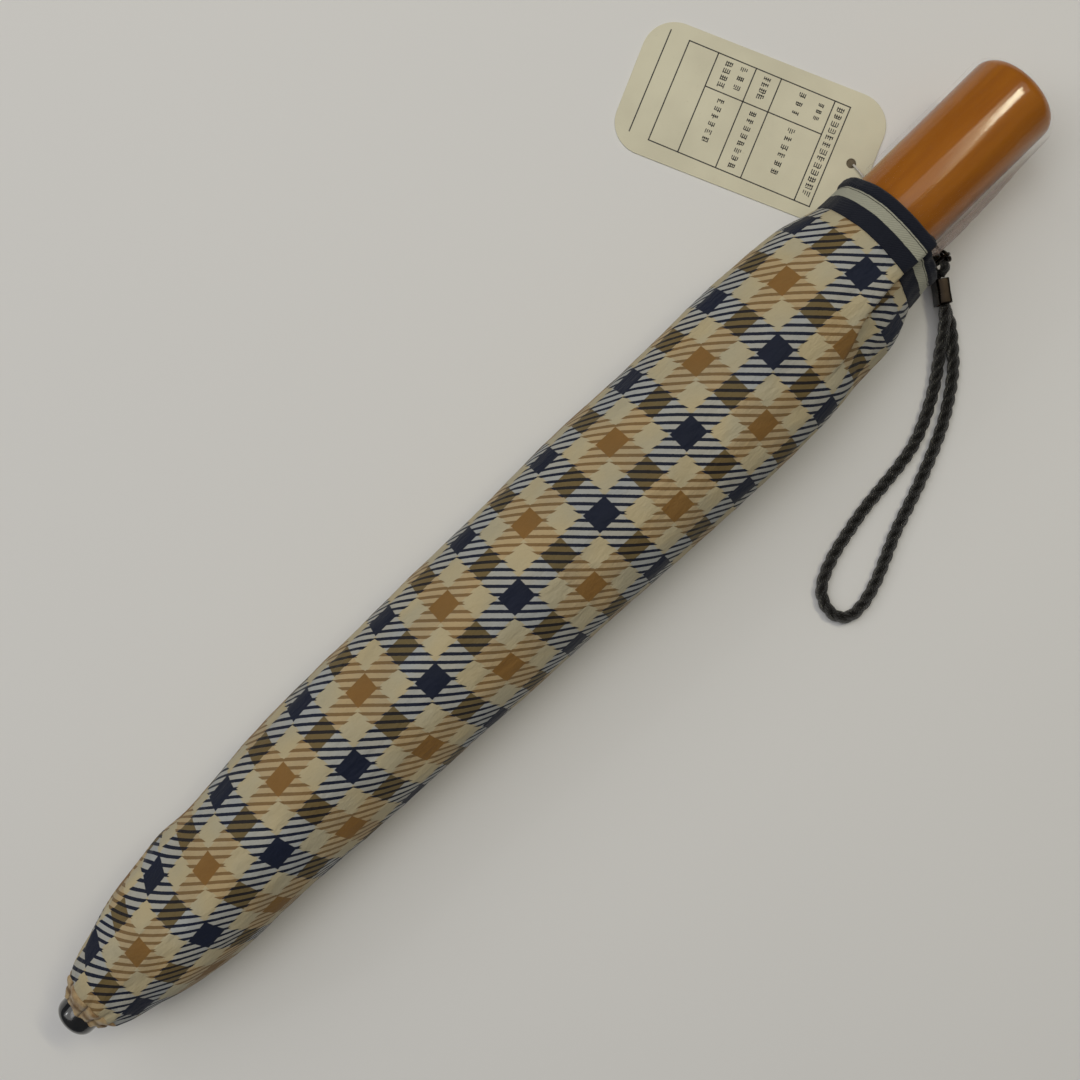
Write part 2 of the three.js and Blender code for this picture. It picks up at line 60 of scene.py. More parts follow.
HANDLE_RADIUS = 13
HANDLE_END = 181
HANDLE_START = 116.3
HANDLE_ROUNDING = 4
HANDLE_SHOULDER = {"x": 121, "rounding": 1.6, "radius": 11.6, "face": 11.2}
HANDLE_BORE = {"radius": 4.5, "bottom": 146.3}
FILM = {"start": 132, "gap": 0.45}

# The print repeats along the sleeve and around it; a navy band crosses the top line near the middle.
PRINT_LENGTH = 30.35
PRINT_WIDTH = 24.3
PRINT_START = 19.9

PLEAT = {"start": 86, "full": 104, "depth": 2.4, "tuck": 4.2}
HEM = {"start": 119.2, "end": 130.9}
GATHER = {"start": -168, "stitch": -169.9, "end": -171.9, "tucks": 11, "radii": (9.3, 7.8, 6.2)}

TAG = {"length": 73.4, "width": 39.4, "corner": 9.5, "thickness": 0.4, "hole": 1.4, "inset": 5.9}
TAG_HOLE = Vector((142, 18.65, 0))
TAG_TURN = 1.992

# The ruled table on the tag, from the tag's far end and its left edge.
TABLE = {"top": 12, "bottom": 61.5, "left": 4, "right": 34.5, "column": 14.2, "line": 0.36, "turn": 0.02}

EYE = {"place": Vector((136.6, -17.7, 17.9)), "radius": 1.7, "wire": 0.45, "shank_end": -10.5}
LINK = {"place": Vector((136.6, -18.05, 14)), "half_width": 2.05, "half_height": 3.2, "wire": 0.5}
CLASP = {"length": 7, "width": 3.8, "height": 6.8, "wall": 0.6, "rounding": 0.8, "turn": 234}

CANOPY_BORE = 13.65


def at(x, y, z):
    return (Vector((x, y, z)) + FRAME_SHIFT) * MM


def clamp(value, low=0.0, high=1.0):
    return max(low, min(high, value))


def ease(value, start, end):
    t = clamp((value - start) / (end - start))
    return t * t * (3 - 2 * t)


def mix(a, b, t):
    return a + (b - a) * t


def wobble(x, y, z=0.0):
    return noise.noise(Vector((x, y, z)))


def turns(count, last=False):
    """Evenly spaced angles round a circle, with a full turn at the end where last is given."""
    return [TAU * i / count for i in range(count + 1 if last else count)]


def round_shaft(x, radius, angle, centre_y=0.0):
    """A point round the shaft's axis, in the frame. Angle 0 is the tag's side and a quarter turn up."""
    return at(x, centre_y + radius * math.cos(angle), AXIS_Z + radius * math.sin(angle))


def dip(value, width):
    """A smooth bump of height 1 and that half width round 0."""
    return math.exp(-(value / width) ** 2)


REPLACED = set()


def dress(made, node, body):
    """Puts a piece in the place of a frame node, on that node's body."""
    REPLACED.add(node)
    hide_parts(node)
    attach(made, body)


# ---------------------------------------------------------------- camera, light and floor

def make_camera():
    data = bpy.data.cameras.new("camera")
    data.sensor_width = 36
    data.lens = CAMERA_LENS
    camera = bpy.data.objects.new("camera", data)
    camera.location = at(*CAMERA_PLACE)
    camera.rotation_euler = (0, 0, math.radians(CAMERA_TURN))
    bpy.context.scene.collection.objects.link(camera)
    bpy.context.scene.camera = camera


def make_light(name, place, target, size, power, colour):
    data = bpy.data.lights.new(name, "AREA")
    data.shape = "RECTANGLE"
    data.size, data.size_y = size
    data.energy = power
    data.color = colour
    light = bpy.data.objects.new(name, data)
    light.location = place
    light.rotation_euler = (Vector(place) - Vector(target)).to_track_quat("Z", "Y").to_euler()
    bpy.context.scene.collection.objects.link(light)


def make_studio():
    middle = (0, 0, 0.02)
    make_light("key", (-0.25, 0.82, 1.12), middle, (1.6, 1.3), 6.8, (1, 0.985, 0.95))
    make_light("fill", (0.6, -0.75, 1.3), middle, (1.4, 1.4), 0.6, (0.96, 0.98, 1))
    make_light("overhead", (0.2, 0.24, 1.25), (0.1, 0, 0), (1.8, 0.6), 5.4, (1, 0.98, 0.95))
    make_light("window", (0.715, -0.04, 1.2), (0.16, 0, 0), (0.32, 0.04), 2.0, (1, 0.93, 0.66))
    make_light("sparkle", (0.66, -0.04, 1.2), (0.16, 0, 0), (0.7, 0.07), 0.9, (1, 0.84, 0.52))
    make_light("glint", (-0.74, 0.89, 0.82), (-0.18, 0, 0.02), (0.14, 0.07), 0.35, (1, 1, 1))
    world = bpy.data.worlds.new("studio")
    world.use_nodes = True
    background = world.node_tree.nodes["Background"]
    background.inputs["Color"].default_value = (0.92, 0.93, 0.97, 1)
    background.inputs["Strength"].default_value = 0.1
    bpy.context.scene.world = world
    bpy.context.scene.view_settings.view_transform = "Standard"


# ---------------------------------------------------------------- materials

class Finish:
    """A material's node tree, built node by node."""

    def __init__(self, name, **sockets):
        self.material = bpy.data.materials.new(name)
        self.material.use_nodes = True
        self.tree = self.material.node_tree
        self.shader = self.tree.nodes["Principled BSDF"]
        for socket, value in sockets.items():
            self.shader.inputs[socket.replace("_", " ")].default_value = value

    def node(self, kind, inputs=(), **settings):
        made = self.tree.nodes.new("ShaderNode" + kind)
        for key, value in settings.items():
            setattr(made, key, value)
        for key, value in dict(inputs).items():
            self.feed(made.inputs[key], value)
        return made

    def feed(self, socket, value):
        if isinstance(value, bpy.types.NodeSocket):
            self.tree.links.new(value, socket)
        elif socket.type == "RGBA":
            socket.default_value = (*value, 1)
        else:
            socket.default_value = value

    def math(self, operation, a, b=0.0):
        return self.node("Math", {0: a, 1: b}, operation=operation).outputs[0]

    def times(self, a, b):
        return self.math("MULTIPLY", a, b)

    def plus(self, a, b):
        return self.math("ADD", a, b)

    def minus(self, a, b):
        return self.math("SUBTRACT", a, b)

    def span(self, value, low, high, to_low=0.0, to_high=1.0):
        inputs = {0: value, 1: low, 2: high, 3: to_low, 4: to_high}
        return self.node("MapRange", inputs, interpolation_type="SMOOTHSTEP").outputs[0]

    def mix(self, factor, a, b, blend="MIX"):
        made = self.node("Mix", {0: factor, 6: a, 7: b}, data_type="RGBA", blend_type=blend)
        return made.outputs[2]

    def place(self, source="Object", scale=(1, 1, 1), turn=(0, 0, 0)):
        coordinates = self.node("TexCoord").outputs[source]
        inputs = {"Vector": coordinates, "Scale": scale, "Rotation": turn}
        return self.node("Mapping", inputs).outputs[0]

    def noise(self, vector, scale, detail=3.0, roughness=0.55):
        inputs = {"Vector": vector, "Scale": scale, "Detail": detail, "Roughness": roughness}
        return self.node("TexNoise", inputs).outputs["Fac"]

    def grain(self, scale, detail=3.0, roughness=0.55):
        """Noise in the object's own space, of one scale or of one along each axis."""
        scales = scale if isinstance(scale, tuple) else (scale, scale, scale)
        return self.noise(self.place("Object", scales), 1.0, detail, roughness)

    def mottle(self, along, around, detail=3.0):
        """Noise on the cloth, whose UV map is in millimetres."""
        return self.noise(self.place("UV", (along, around, 1)), 1.0, detail)

    def bump(self, height, distance, strength=1.0, under=None):
        inputs = {"Height": height, "Distance": distance, "Strength": strength}
        if under is not None:
            inputs["Normal"] = under
        return self.node("Bump", inputs).outputs[0]

    def colour(self, value):
        self.feed(self.shader.inputs["Base Color"], value)

    def rough(self, value):
        self.feed(self.shader.inputs["Roughness"], value)

    def normal(self, value):
        self.feed(self.shader.inputs["Normal"], value)


CREAM = (0.445, 0.385, 0.25)
PALE_BLUE = (0.385, 0.385, 0.36)
WARM_CREAM = (0.43, 0.33, 0.19)
NAVY = (0.005, 0.009, 0.026)
TAN = (0.215, 0.112, 0.029)
TAN_LINE = (0.20, 0.125, 0.052)
OLIVE = (0.15, 0.108, 0.044)
OLIVE_LINE = (0.014, 0.011, 0.011)


def cloth_bump(finish, strength):
    """A fine plain weave with soft creases under it. The UV map is in millimetres."""
    along, around = separate_uv(finish)
    threads = 2.6
    warp = finish.math("SINE", finish.times(along, threads * TAU))
    weft = finish.math("SINE", finish.times(around, threads * TAU))
    weave = finish.times(warp, weft)
    creases = finish.noise(finish.place("UV", (0.05, 0.12, 1), (0, 0, 0.5)), 1.6, 4, 0.6)
    soft = finish.bump(creases, 0.0016, strength)
    return finish.bump(weave, 0.00005, 0.35, soft)


def separate_uv(finish):
    split = finish.node("SeparateXYZ", {"Vector": finish.place("UV")})
    return split.outputs[0], split.outputs[1]


def band(finish, phase, centre, width):
    """1 inside a band of that width round centre, both in repeats, and 0 outside it."""
    distance = finish.math("ABSOLUTE", off_centre(finish, phase, centre))
    return finish.span(distance, width / 2 - 0.004, width / 2 + 0.004, 1, 0)


def off_centre(finish, phase, centre):
    """How far phase is from the nearest place where it equals centre, from -0.5 to 0.5."""
    offset = finish.math("FRACT", finish.plus(phase, 0.5 - centre))
    return finish.minus(offset, 0.5)


def comb(finish, phase, centre, width, stagger):
    """A band whose two edges are stepped by the hatch lines, which end square to their own run."""
    moved = finish.plus(phase, finish.times(stagger, 0.04))
    return band(finish, moved, centre, width + 0.035)


def plaid_colour(finish):
    """The print: navy and tan bands both ways, solid where two of one colour cross, else hatched."""
    along, around = separate_uv(finish)
    jitter = finish.mottle(1.3, 1.3, 2)
    ragged = finish.times(finish.minus(jitter, 0.5), 0.004)
    column = finish.plus(finish.math("DIVIDE", along, PRINT_LENGTH), ragged)
    row = finish.plus(finish.math("DIVIDE", around, PRINT_WIDTH), ragged)
    hatch_phase = finish.plus(finish.times(column, 10), finish.times(row, 8))
    hatch = band(finish, hatch_phase, 0.25, 0.40)
    stagger = off_centre(finish, hatch_phase, 0.25)

    def bands(colour, columns, rows, fill, line, solid, under=None):
        """Lays one colour's bands over the print. Where they cross the bands under them, the ground
        turns olive."""
        column_band = band(finish, column, *columns)
        row_band = band(finish, row, *rows)
        either = finish.math("MAXIMUM", column_band, row_band)
        colour = finish.mix(either, colour, fill)
        if under is not None:
            crossing = finish.times(either, under)
            colour = finish.mix(crossing, colour, OLIVE)
            line = finish.mix(crossing, line, OLIVE_LINE)
        teeth = [comb(finish, part, *place, stagger) for part, place in ((column, columns), (row, rows))]
        colour = finish.mix(finish.times(finish.math("MAXIMUM", *teeth), hatch), colour, line)
        return finish.mix(finish.times(column_band, row_band), colour, solid), either

    colour, under = bands(CREAM, (0.5, 0.232), (0.5, 0.228), WARM_CREAM, TAN_LINE, TAN)
    colour, _ = bands(colour, (0.0, 0.250), (0.0, 0.258), PALE_BLUE, NAVY, NAVY, under)
    patches = finish.noise(finish.place("UV", (0.02, 0.03, 1)), 2.0, 3)
    shade = finish.span(patches, 0.3, 0.75, 0.94, 1.05)
    colour = finish.mix(1.0, colour, grey(finish, shade), "MULTIPLY")
    # Painted sheen: the print is tinted cool in some soft patches and warm in others.
    sheen = finish.mottle(0.045, 0.07, 2)
    tint = finish.mix(finish.span(sheen, 0.35, 0.65), (0.95, 0.985, 1.05), (1.03, 1.0, 0.94))
    return finish.mix(1.0, colour, tint, "MULTIPLY")


def grey(finish, value):
    return finish.node("CombineColor", {0: value, 1: value, 2: value}).outputs[0]


def plaid_finish():
    finish = Finish(
        "printed_nylon", Roughness=0.66, Sheen_Weight=0.03, Sheen_Roughness=0.5, Specular_IOR_Level=0.25
    )
    finish.colour(plaid_colour(finish))
    finish.normal(cloth_bump(finish, 0.7))
    return finish.material


def stripe(finish, part, start, end):
    """1 where part lies between start and end, with a soft edge."""
    rise = finish.span(part, start, start + 0.012)
    return finish.times(rise, finish.span(part, end, end + 0.012, 1, 0))


def hem_finish():
    """Navy, cream and navy bands along the hem, and a thin dark line of painted shadow in the groove at the
    binding's seam.
    """
    finish = Finish(
        "striped_hem", Roughness=0.75, Sheen_Weight=0.06, Sheen_Roughness=0.5, Specular_IOR_Level=0.2
    )
    along, around = separate_uv(finish)
    length = HEM["end"] - HEM["start"]
    part = finish.math("DIVIDE", finish.minus(along, HEM["start"] - PRINT_START), length)
    wave = finish.times(finish.mottle(0.4, 0.4), 0.02)
    part = finish.plus(part, wave)
    ribs = finish.plus(along, finish.times(around, 0.8))
    ribs = finish.math("SINE", finish.times(ribs, 1.35 * TAU))
    cloth = finish.mix(finish.span(ribs, -1, 1), (0.31, 0.315, 0.255), (0.38, 0.375, 0.30))
    colour = finish.mix(stripe(finish, part, 0.41, 0.71), (0.007, 0.009, 0.018), cloth)
    # Painted shadow: a thin dark line in the groove at the binding's seam.
    finish.colour(finish.mix(stripe(finish, part, 0.655, 0.675), colour, (0.004, 0.004, 0.005)))
    finish.normal(finish.bump(ribs, 0.00006, 0.6, cloth_bump(finish, 0.3)))
    return finish.material


def tuck_crease(finish, angle):
    """0 on the crests and 1 in the bottoms of the folds that tuck_shape makes."""
    phase = finish.times(angle, GATHER["tucks"])
    for size, rate, offset in ((1.3, 2, 0.7), (0.9, 3, 0)):
        turn = finish.plus(finish.times(angle, rate), offset)
        phase = finish.plus(phase, finish.times(finish.math("SINE", turn), size))
    swing = finish.math("COSINE", finish.times(phase, 0.5))
    return finish.minus(1, finish.math("ABSOLUTE", swing))


def gather_finish():
    finish = Finish("gathered_beige_cloth", Roughness=0.78, Sheen_Weight=0.25, Sheen_Roughness=0.5)
    along, around = separate_uv(finish)
    stain = finish.mottle(0.4, 0.35, 3)
    colour = finish.mix(finish.span(stain, 0.35, 0.7), (0.42, 0.31, 0.165), (0.22, 0.12, 0.04))
    stitch = finish.math("ABSOLUTE", finish.minus(along, GATHER["stitch"] - PRINT_START))
    # Painted shade: the bottoms of the tucks are darkened, and a dark line follows the stitching.
    crease = finish.span(tuck_crease(finish, finish.math("DIVIDE", around, 8)), 0.6, 0.97, 0, 0.85)
    dark = finish.math("MAXIMUM", crease, finish.span(stitch, 0.15, 0.7, 0.6, 0))
    finish.colour(finish.mix(dark, colour, (0.055, 0.03, 0.012)))
    finish.normal(cloth_bump(finish, 0.8))
    return finish.material


def lacquer_finish():
    """Amber lacquer over turned wood: faint long grain under a coat with a fine ripple."""
    finish = Finish(
        "amber_lacquered_wood",
        Coat_Weight=1.0, Coat_Roughness=0.05, Coat_IOR=1.34, Specular_IOR_Level=0.1,
    )
    grain = finish.noise(finish.place("Object", (16, 150, 150)), 1.6, 5, 0.6)
    rings = finish.grain((9, 60, 60), 3, 0.5)
    pores = finish.grain((160, 1700, 1700), 2, 0.7)
    colour = finish.mix(finish.span(grain, 0.3, 0.72), (0.36, 0.118, 0.003), (0.28, 0.083, 0.002))
    colour = finish.mix(finish.span(rings, 0.35, 0.7, 0, 0.4), colour, (0.39, 0.138, 0.004))
    finish.colour(finish.mix(finish.span(pores, 0.62, 0.78, 0, 0.25), colour, (0.16, 0.045, 0.006)))
    finish.rough(finish.span(grain, 0.2, 0.8, 0.38, 0.48))
    ripple = finish.noise(finish.place("Object", (900, 1600, 1600), (0.1, 0.2, 0.5)), 1.0, 4, 0.75)
    finish.feed(finish.shader.inputs["Coat Normal"], finish.bump(ripple, 0.0006, 0.018))
    return finish.material


def off_axis(finish):
    """Distance from the shaft's axis, in millimetres."""
    spot = finish.place("Object", (0, 1 / MM, 1 / MM))
    middle = (0, FRAME_SHIFT.y, AXIS_Z)
    return finish.node("VectorMath", {0: spot, 1: middle}, operation="DISTANCE").outputs["Value"]


def film_finish():
    """Clear crinkled film: see-through on the wood and milky in its sealed fins, with painted glints along
    its creases and a painted reflection where it is seen edge on.
    """
    finish = Finish("clear_crinkled_film", Specular_IOR_Level=0.9)
    finish.colour((0.50, 0.38, 0.33))
    crinkle = finish.grain((420, 900, 900), 5, 0.7)
    folds = finish.noise(finish.place("Object", (90, 260, 260), (0.3, 0.2, 0.6)), 1.0, 3, 0.5)
    finish.normal(finish.bump(crinkle, 0.0012, 0.8, finish.bump(folds, 0.003, 0.5)))
    finish.rough(finish.span(crinkle, 0.3, 0.7, 0.07, 0.2))
    # Painted glints: the film is a little paler and less clear along the crinkles' crease lines.
    crease = finish.math("ABSOLUTE", finish.minus(crinkle, 0.5))
    painted_crease_glint = finish.span(crease, 0.0, 0.02, 0.06, 0.008)
    fin = finish.span(off_axis(finish), HANDLE_RADIUS + 1.0, HANDLE_RADIUS + 2.2, 0, 0.5)
    # Painted reflection: the film turns pale where it is seen edge on.
    facing = finish.node("LayerWeight", {"Blend": 0.3}).outputs["Facing"]
    edge = finish.span(facing, 0.75, 1, 0, 0.22)
    alpha = finish.plus(painted_crease_glint, finish.math("MAXIMUM", fin, edge))
    finish.feed(finish.shader.inputs["Alpha"], alpha)
    return finish.material


def metal_finish(name, colour, roughness, brush_scale):
    finish = Finish(name, Metallic=1.0)
    brushed = finish.grain(brush_scale, 4, 0.6)
    spots = finish.grain(160, 4, 0.6)
    dark = tuple(channel * 0.55 for channel in colour)
    finish.colour(finish.mix(finish.span(spots, 0.45, 0.8), colour, dark))
    finish.rough(finish.span(brushed, 0.25, 0.75, roughness * 0.75, roughness * 1.35))
    finish.normal(finish.bump(brushed, 0.00008, 0.35))
    return finish.material


def gloss_black_finish():
    finish = Finish("gloss_black_plastic", Coat_Weight=1.0, Coat_Roughness=0.06)
    smudge = finish.grain((150, 220, 220), 4, 0.6)
    finish.colour(finish.mix(finish.span(smudge, 0.4, 0.8), (0.004, 0.005, 0.007), (0.012, 0.012, 0.012)))
    finish.rough(finish.span(smudge, 0.3, 0.75, 0.1, 0.24))
    finish.normal(finish.bump(smudge, 0.0002, 0.1))
    return finish.material


def matt_black_finish():
    finish = Finish("moulded_black_plastic")
    grain = finish.grain(1400, 3)
    tone = finish.grain(90, 3)
    finish.colour(finish.mix(tone, (0.008, 0.008, 0.009), (0.022, 0.022, 0.024)))
    finish.rough(finish.span(grain, 0.3, 0.7, 0.38, 0.6))
    finish.normal(finish.bump(grain, 0.00006, 0.6))
    return finish.material


def cord_finish():
    """Black rayon yarn: fine filaments run along each strand and catch the light."""
    finish = Finish(
        "black_twisted_yarn", Sheen_Weight=0.05, Sheen_Roughness=0.4, Specular_IOR_Level=0.7
    )
    along, around = separate_uv(finish)
    yarn = finish.plus(finish.times(around, 7.0), finish.times(along, 1.4))
    ply = finish.math("SINE", finish.times(yarn, TAU))
    fibre = finish.noise(finish.place("UV", (3, 14, 1), (0, 0, 0.4)), 1.0, 4, 0.7)
    finish.colour(finish.mix(fibre, (0.003, 0.003, 0.0025), (0.014, 0.012, 0.009)))
    finish.rough(finish.span(fibre, 0.3, 0.7, 0.22, 0.42))
    finish.normal(finish.bump(ply, 0.00022, 0.9, finish.bump(fibre, 0.0002, 0.6)))
    return finish.material


def card_finish():
    """Uncoated cream card with faint fibres and a cloudy tone."""
    finish = Finish("cream_card", Roughness=0.82, Specular_IOR_Level=0.25)
    fibre = finish.grain(900, 4, 0.7)
    cloud = finish.grain(45, 3)
    colour = finish.mix(finish.span(cloud, 0.3, 0.7), (0.69, 0.66, 0.51), (0.62, 0.59, 0.455))
    finish.colour(finish.mix(finish.span(fibre, 0.62, 0.8, 0, 0.3), colour, (0.42, 0.37, 0.26)))
    finish.normal(finish.bump(fibre, 0.00005, 0.5))
    return finish.material


def ink_finish(name, dark, pale):
    finish = Finish(name, Roughness=0.6)
    fade = finish.grain(700, 3)
    finish.colour(finish.mix(finish.span(fade, 0.35, 0.75), dark, pale))
    finish.normal(finish.bump(fade, 0.00002, 0.3))
    return finish.material


def thread_finish():
    finish = Finish("nylon_thread", Roughness=0.3)
    twist = finish.grain(900, 3)
    finish.colour(finish.mix(twist, (0.45, 0.42, 0.38), (0.62, 0.60, 0.56)))
    finish.normal(finish.bump(twist, 0.0001, 0.5))
    return finish.material


def floor_finish():
    finish = Finish("pale_backdrop", Roughness=0.9, Specular_IOR_Level=0.1)
    cloud = finish.grain(3, 2)
    finish.colour(finish.mix(cloud, (0.73, 0.73, 0.735), (0.77, 0.77, 0.765)))
    return finish.material


# ---------------------------------------------------------------- mesh helpers

def add_object(name, vertices, faces, material, uvs=None, smooth=True):
    """uvs holds one list of corner coordinates for each face."""
    mesh = bpy.data.meshes.new(name)
    mesh.from_pydata([tuple(v) for v in vertices], [], faces)
    if uvs is not None:
        layer = mesh.uv_layers.new(name="UVMap")
        for polygon, corners in zip(mesh.polygons, uvs):
            for loop, uv in zip(polygon.loop_indices, corners):
                layer.data[loop].uv = uv
    mesh.polygons.foreach_set("use_smooth", [smooth] * len(mesh.polygons))
    mesh.materials.append(material)
    made = bpy.data.objects.new(name, mesh)
    bpy.context.scene.collection.objects.link(made)
    return made


def loft(name, rows, material, row_uvs=None, closed=True, caps=False):
    """Skins rows of points of equal length. With closed, each row is a ring, and row_uvs then holds
    one more coordinate than the row has points."""
    size = len(rows[0])
    vertices = [point for row in rows for point in row]
    faces, uvs = [], []
    for i in range(len(rows) - 1):
        for j in range(size if closed else size - 1):
            k = (j + 1) % size
            faces.append((i * size + j, i * size + k, (i + 1) * size + k, (i + 1) * size + j))
            if row_uvs is not None:
                here, there = row_uvs[i], row_uvs[i + 1]
                uvs.append((here[j], here[j + 1], there[j + 1], there[j]))
    if caps:
        last = (len(rows) - 1) * size
        faces.append(tuple(reversed(range(size))))
        faces.append(tuple(range(last, last + size)))
        if row_uvs is not None:
            uvs.append([row_uvs[0][j] for j in reversed(range(size))])
            uvs.append([row_uvs[-1][j] for j in range(size)])
    return add_object(name, vertices, faces, material, uvs if row_uvs is not None else None)


def lathe(name, profile, material):
    """Turns a closed or axis-to-axis profile of (x, radius) about the shaft."""
    rows = [[round_shaft(x, radius, angle) for x, radius in profile] for angle in turns(96, True)]
    made = loft(name, rows, material, closed=False)
    weld(made)
    return made


def weld(made):
    """Joins coincident vertices and points the faces outwards."""
    work = bmesh.new()
    work.from_mesh(made.data)
    bmesh.ops.remove_doubles(work, verts=work.verts, dist=1e-6)
    bmesh.ops.recalc_face_normals(work, faces=work.faces)
    work.to_mesh(made.data)
    work.free()


def arc(centre, radius, start, end, steps):
    """Points of an arc, in degrees, as (x, radius) pairs of a profile."""
    points = []
    for i in range(steps + 1):
        angle = math.radians(mix(start, end, i / steps))
        points.append((centre[0] + radius * math.cos(angle), centre[1] + radius * math.sin(angle)))
    return points


def smooth_path(points, spacing):
    """A Catmull-Rom curve through points, resampled evenly."""
    ends = [points[0] * 2 - points[1], *points, points[-1] * 2 - points[-2]]
    dense = []
    for p0, p1, p2, p3 in zip(ends, ends[1:], ends[2:], ends[3:]):
        for i in range(24):
            t = i / 24
            dense.append(0.5 * (
                2 * p1 + (p2 - p0) * t + (2 * p0 - 5 * p1 + 4 * p2 - p3) * t * t
                + (3 * p1 - p0 - 3 * p2 + p3) * t ** 3
            ))
    dense.append(points[-1].copy())
    return resample(dense, spacing)


def resample(points, spacing):
    lengths = [0.0]
    for a, b in zip(points, points[1:]):
        lengths.append(lengths[-1] + (b - a).length)
    count = max(2, round(lengths[-1] / spacing))
    result, k = [], 0
    for i in range(count + 1):
        goal = lengths[-1] * i / count
        while k < len(points) - 2 and lengths[k + 1] < goal:
            k += 1
        step = lengths[k + 1] - lengths[k]
        result.append(points[k].lerp(points[k + 1], clamp((goal - lengths[k]) / step)))
    return result


def frames_along(points):
    """A right-handed frame at each point, turned as little as possible from one to the next."""
    tangents = []
    for i in range(len(points)):
        ahead = points[min(i + 1, len(points) - 1)]
        behind = points[max(i - 1, 0)]
        tangents.append((ahead - behind).normalized())
    side = tangents[0].orthogonal().normalized()
    frames = []
    for tangent in tangents:
        side = (side - tangent * side.dot(tangent)).normalized()
        frames.append((side.copy(), tangent.cross(side)))
    return frames


def tube_rows(points, radius, sides):
    rows, uvs = [], []
    run = 0.0
    for i, (point, (side, up)) in enumerate(zip(points, frames_along(points))):
        run += (point - points[i - 1]).length if i else 0
        rows.append([
            point + (side * math.cos(angle) + up * math.sin(angle)) * radius for angle in turns(sides)
        ])
        uvs.append([(run / MM, j / sides) for j in range(sides + 1)])
    return rows, uvs


def tube(name, points, radius, material, sides=16):
    rows, uvs = tube_rows(points, radius, sides)
    return loft(name, rows, material, uvs, caps=True)


def joined(name, parts):
    """One object from several, which are removed."""
    for part in parts:
        part.select_set(True)
    with bpy.context.temp_override(active_object=parts[0], selected_editable_objects=parts):
        bpy.ops.object.join()
    parts[0].name = name
    parts[0].data.name = name
    parts[0].select_set(False)
    return parts[0]


def rope(name, points, diameter, material, strands=3, pitch=11.0):
    """Strands laid round a centreline of points."""
    strand = diameter * 0.27
    offset = diameter / 2 - strand
    frames = frames_along(points)
    parts = []
    for k in range(strands):
        run = 0.0
        line = []
        for i, (point, (side, up)) in enumerate(zip(points, frames)):
            run += (point - points[i - 1]).length if i else 0
            angle = TAU * (run / (pitch * MM) + k / strands)
            line.append(point + (side * math.cos(angle) + up * math.sin(angle)) * offset)
        parts.append(tube(f"{name}_{k}", line, strand, material, sides=10))
    return joined(name, parts)


def bevelled(made, width, segments=2):
    bevel = made.modifiers.new("edges", "BEVEL")
    bevel.width = width * MM
    bevel.segments = segments
    bevel.limit_method = "ANGLE"
    return made


def thicken(made, thickness, offset):
    """Gives a sheet its thickness: inwards at offset -1, and both ways at 0."""
    cloth = made.modifiers.new("cloth", "SOLIDIFY")
    cloth.thickness = thickness * MM
    cloth.offset = offset


def extent(node):
    """A frame node's two ends along the shaft, its middle across it and its half height, in mm."""
    low, high = (corner / MM - FRAME_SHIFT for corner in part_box(node))
    return low.x, high.x, (low.y + high.y) / 2, (high.z - low.z) / 2


def sections_of(*nodes):
    """A lofted frame piece's outside sections, by x in millimetres: centre y, half width, centre z and
    half height, from its vertices."""
    rings = {}
    for node in nodes:
        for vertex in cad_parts[node].data.vertices:
            point = vertex.co / MM - FRAME_SHIFT
            rings.setdefault(round(point.x, 1), []).append(point)
    table = []
    for x, ring in sorted(rings.items()):
        low = min(ring, key=lambda p: p.y)
        high = max(ring, key=lambda p: p.y)
        top = max(p.z for p in ring)
        middle = (low.z + high.z) / 2
        table.append((x, (low.y + high.y) / 2, (high.y - low.y) / 2, middle, top - middle))
    return table


def section_at(table, x):
    """The section at x, by a Catmull-Rom curve through the table."""
    x = clamp(x, table[0][0], table[-1][0])
    i = max(k for k in range(len(table) - 1) if table[k][0] <= x)
    rows = [table[max(i - 1, 0)], table[i], table[i + 1], table[min(i + 2, len(table) - 1)]]
    t = (x - rows[1][0]) / (rows[2][0] - rows[1][0])
    values = []
    for column in range(1, 5):
        a, b, c, d = (row[column] for row in rows)
        span = rows[2][0] - rows[1][0]
        slope_b = (c - a) / max(rows[2][0] - rows[0][0], 1e-6) * span
        slope_c = (d - b) / max(rows[3][0] - rows[1][0], 1e-6) * span
        values.append(
            (2 * t ** 3 - 3 * t * t + 1) * b + (t ** 3 - 2 * t * t + t) * slope_b
            + (3 * t * t - 2 * t ** 3) * c + (t ** 3 - t * t) * slope_c
        )
    return values


# ---------------------------------------------------------------- sleeve

SLEEVE_TABLE = sections_of("sleeve", "sleeve_band")
UPPER_COLUMNS = 96
LOWER_COLUMNS = 44

# The lag of the print's columns by place along: at the top line, its lean, and its bow on the strap
# side and on the tag side.
PRINT_LAG = [
    (-160, 3.7, 0.165, 0.0188, 0.0188), (-135, 1.2, -0.054, 0.0165, 0.0165),
    (-105, 0.0, -0.09, 0.0035, 0.0035), (-45, 0.0, 0.0, 0.0062, 0.001), (20, 0.0, 0.0, 0.0015, -0.001),
    (95, 0.0, 0.0, 0.0015, -0.001), (112, 0.0, 0.0, 0.0, 0.0),
]


def print_drift(x):
    """How far the print's rows wander round the sleeve, because its cloth lies a little twisted."""
    if x < -85:
        return -5.55 + 0.075 * (x + 85)
    return (-4.2 if x < 30 else -1.9) * ((x - 30) / 100) ** 2 - 1.5 * ease(x, 96, 114)


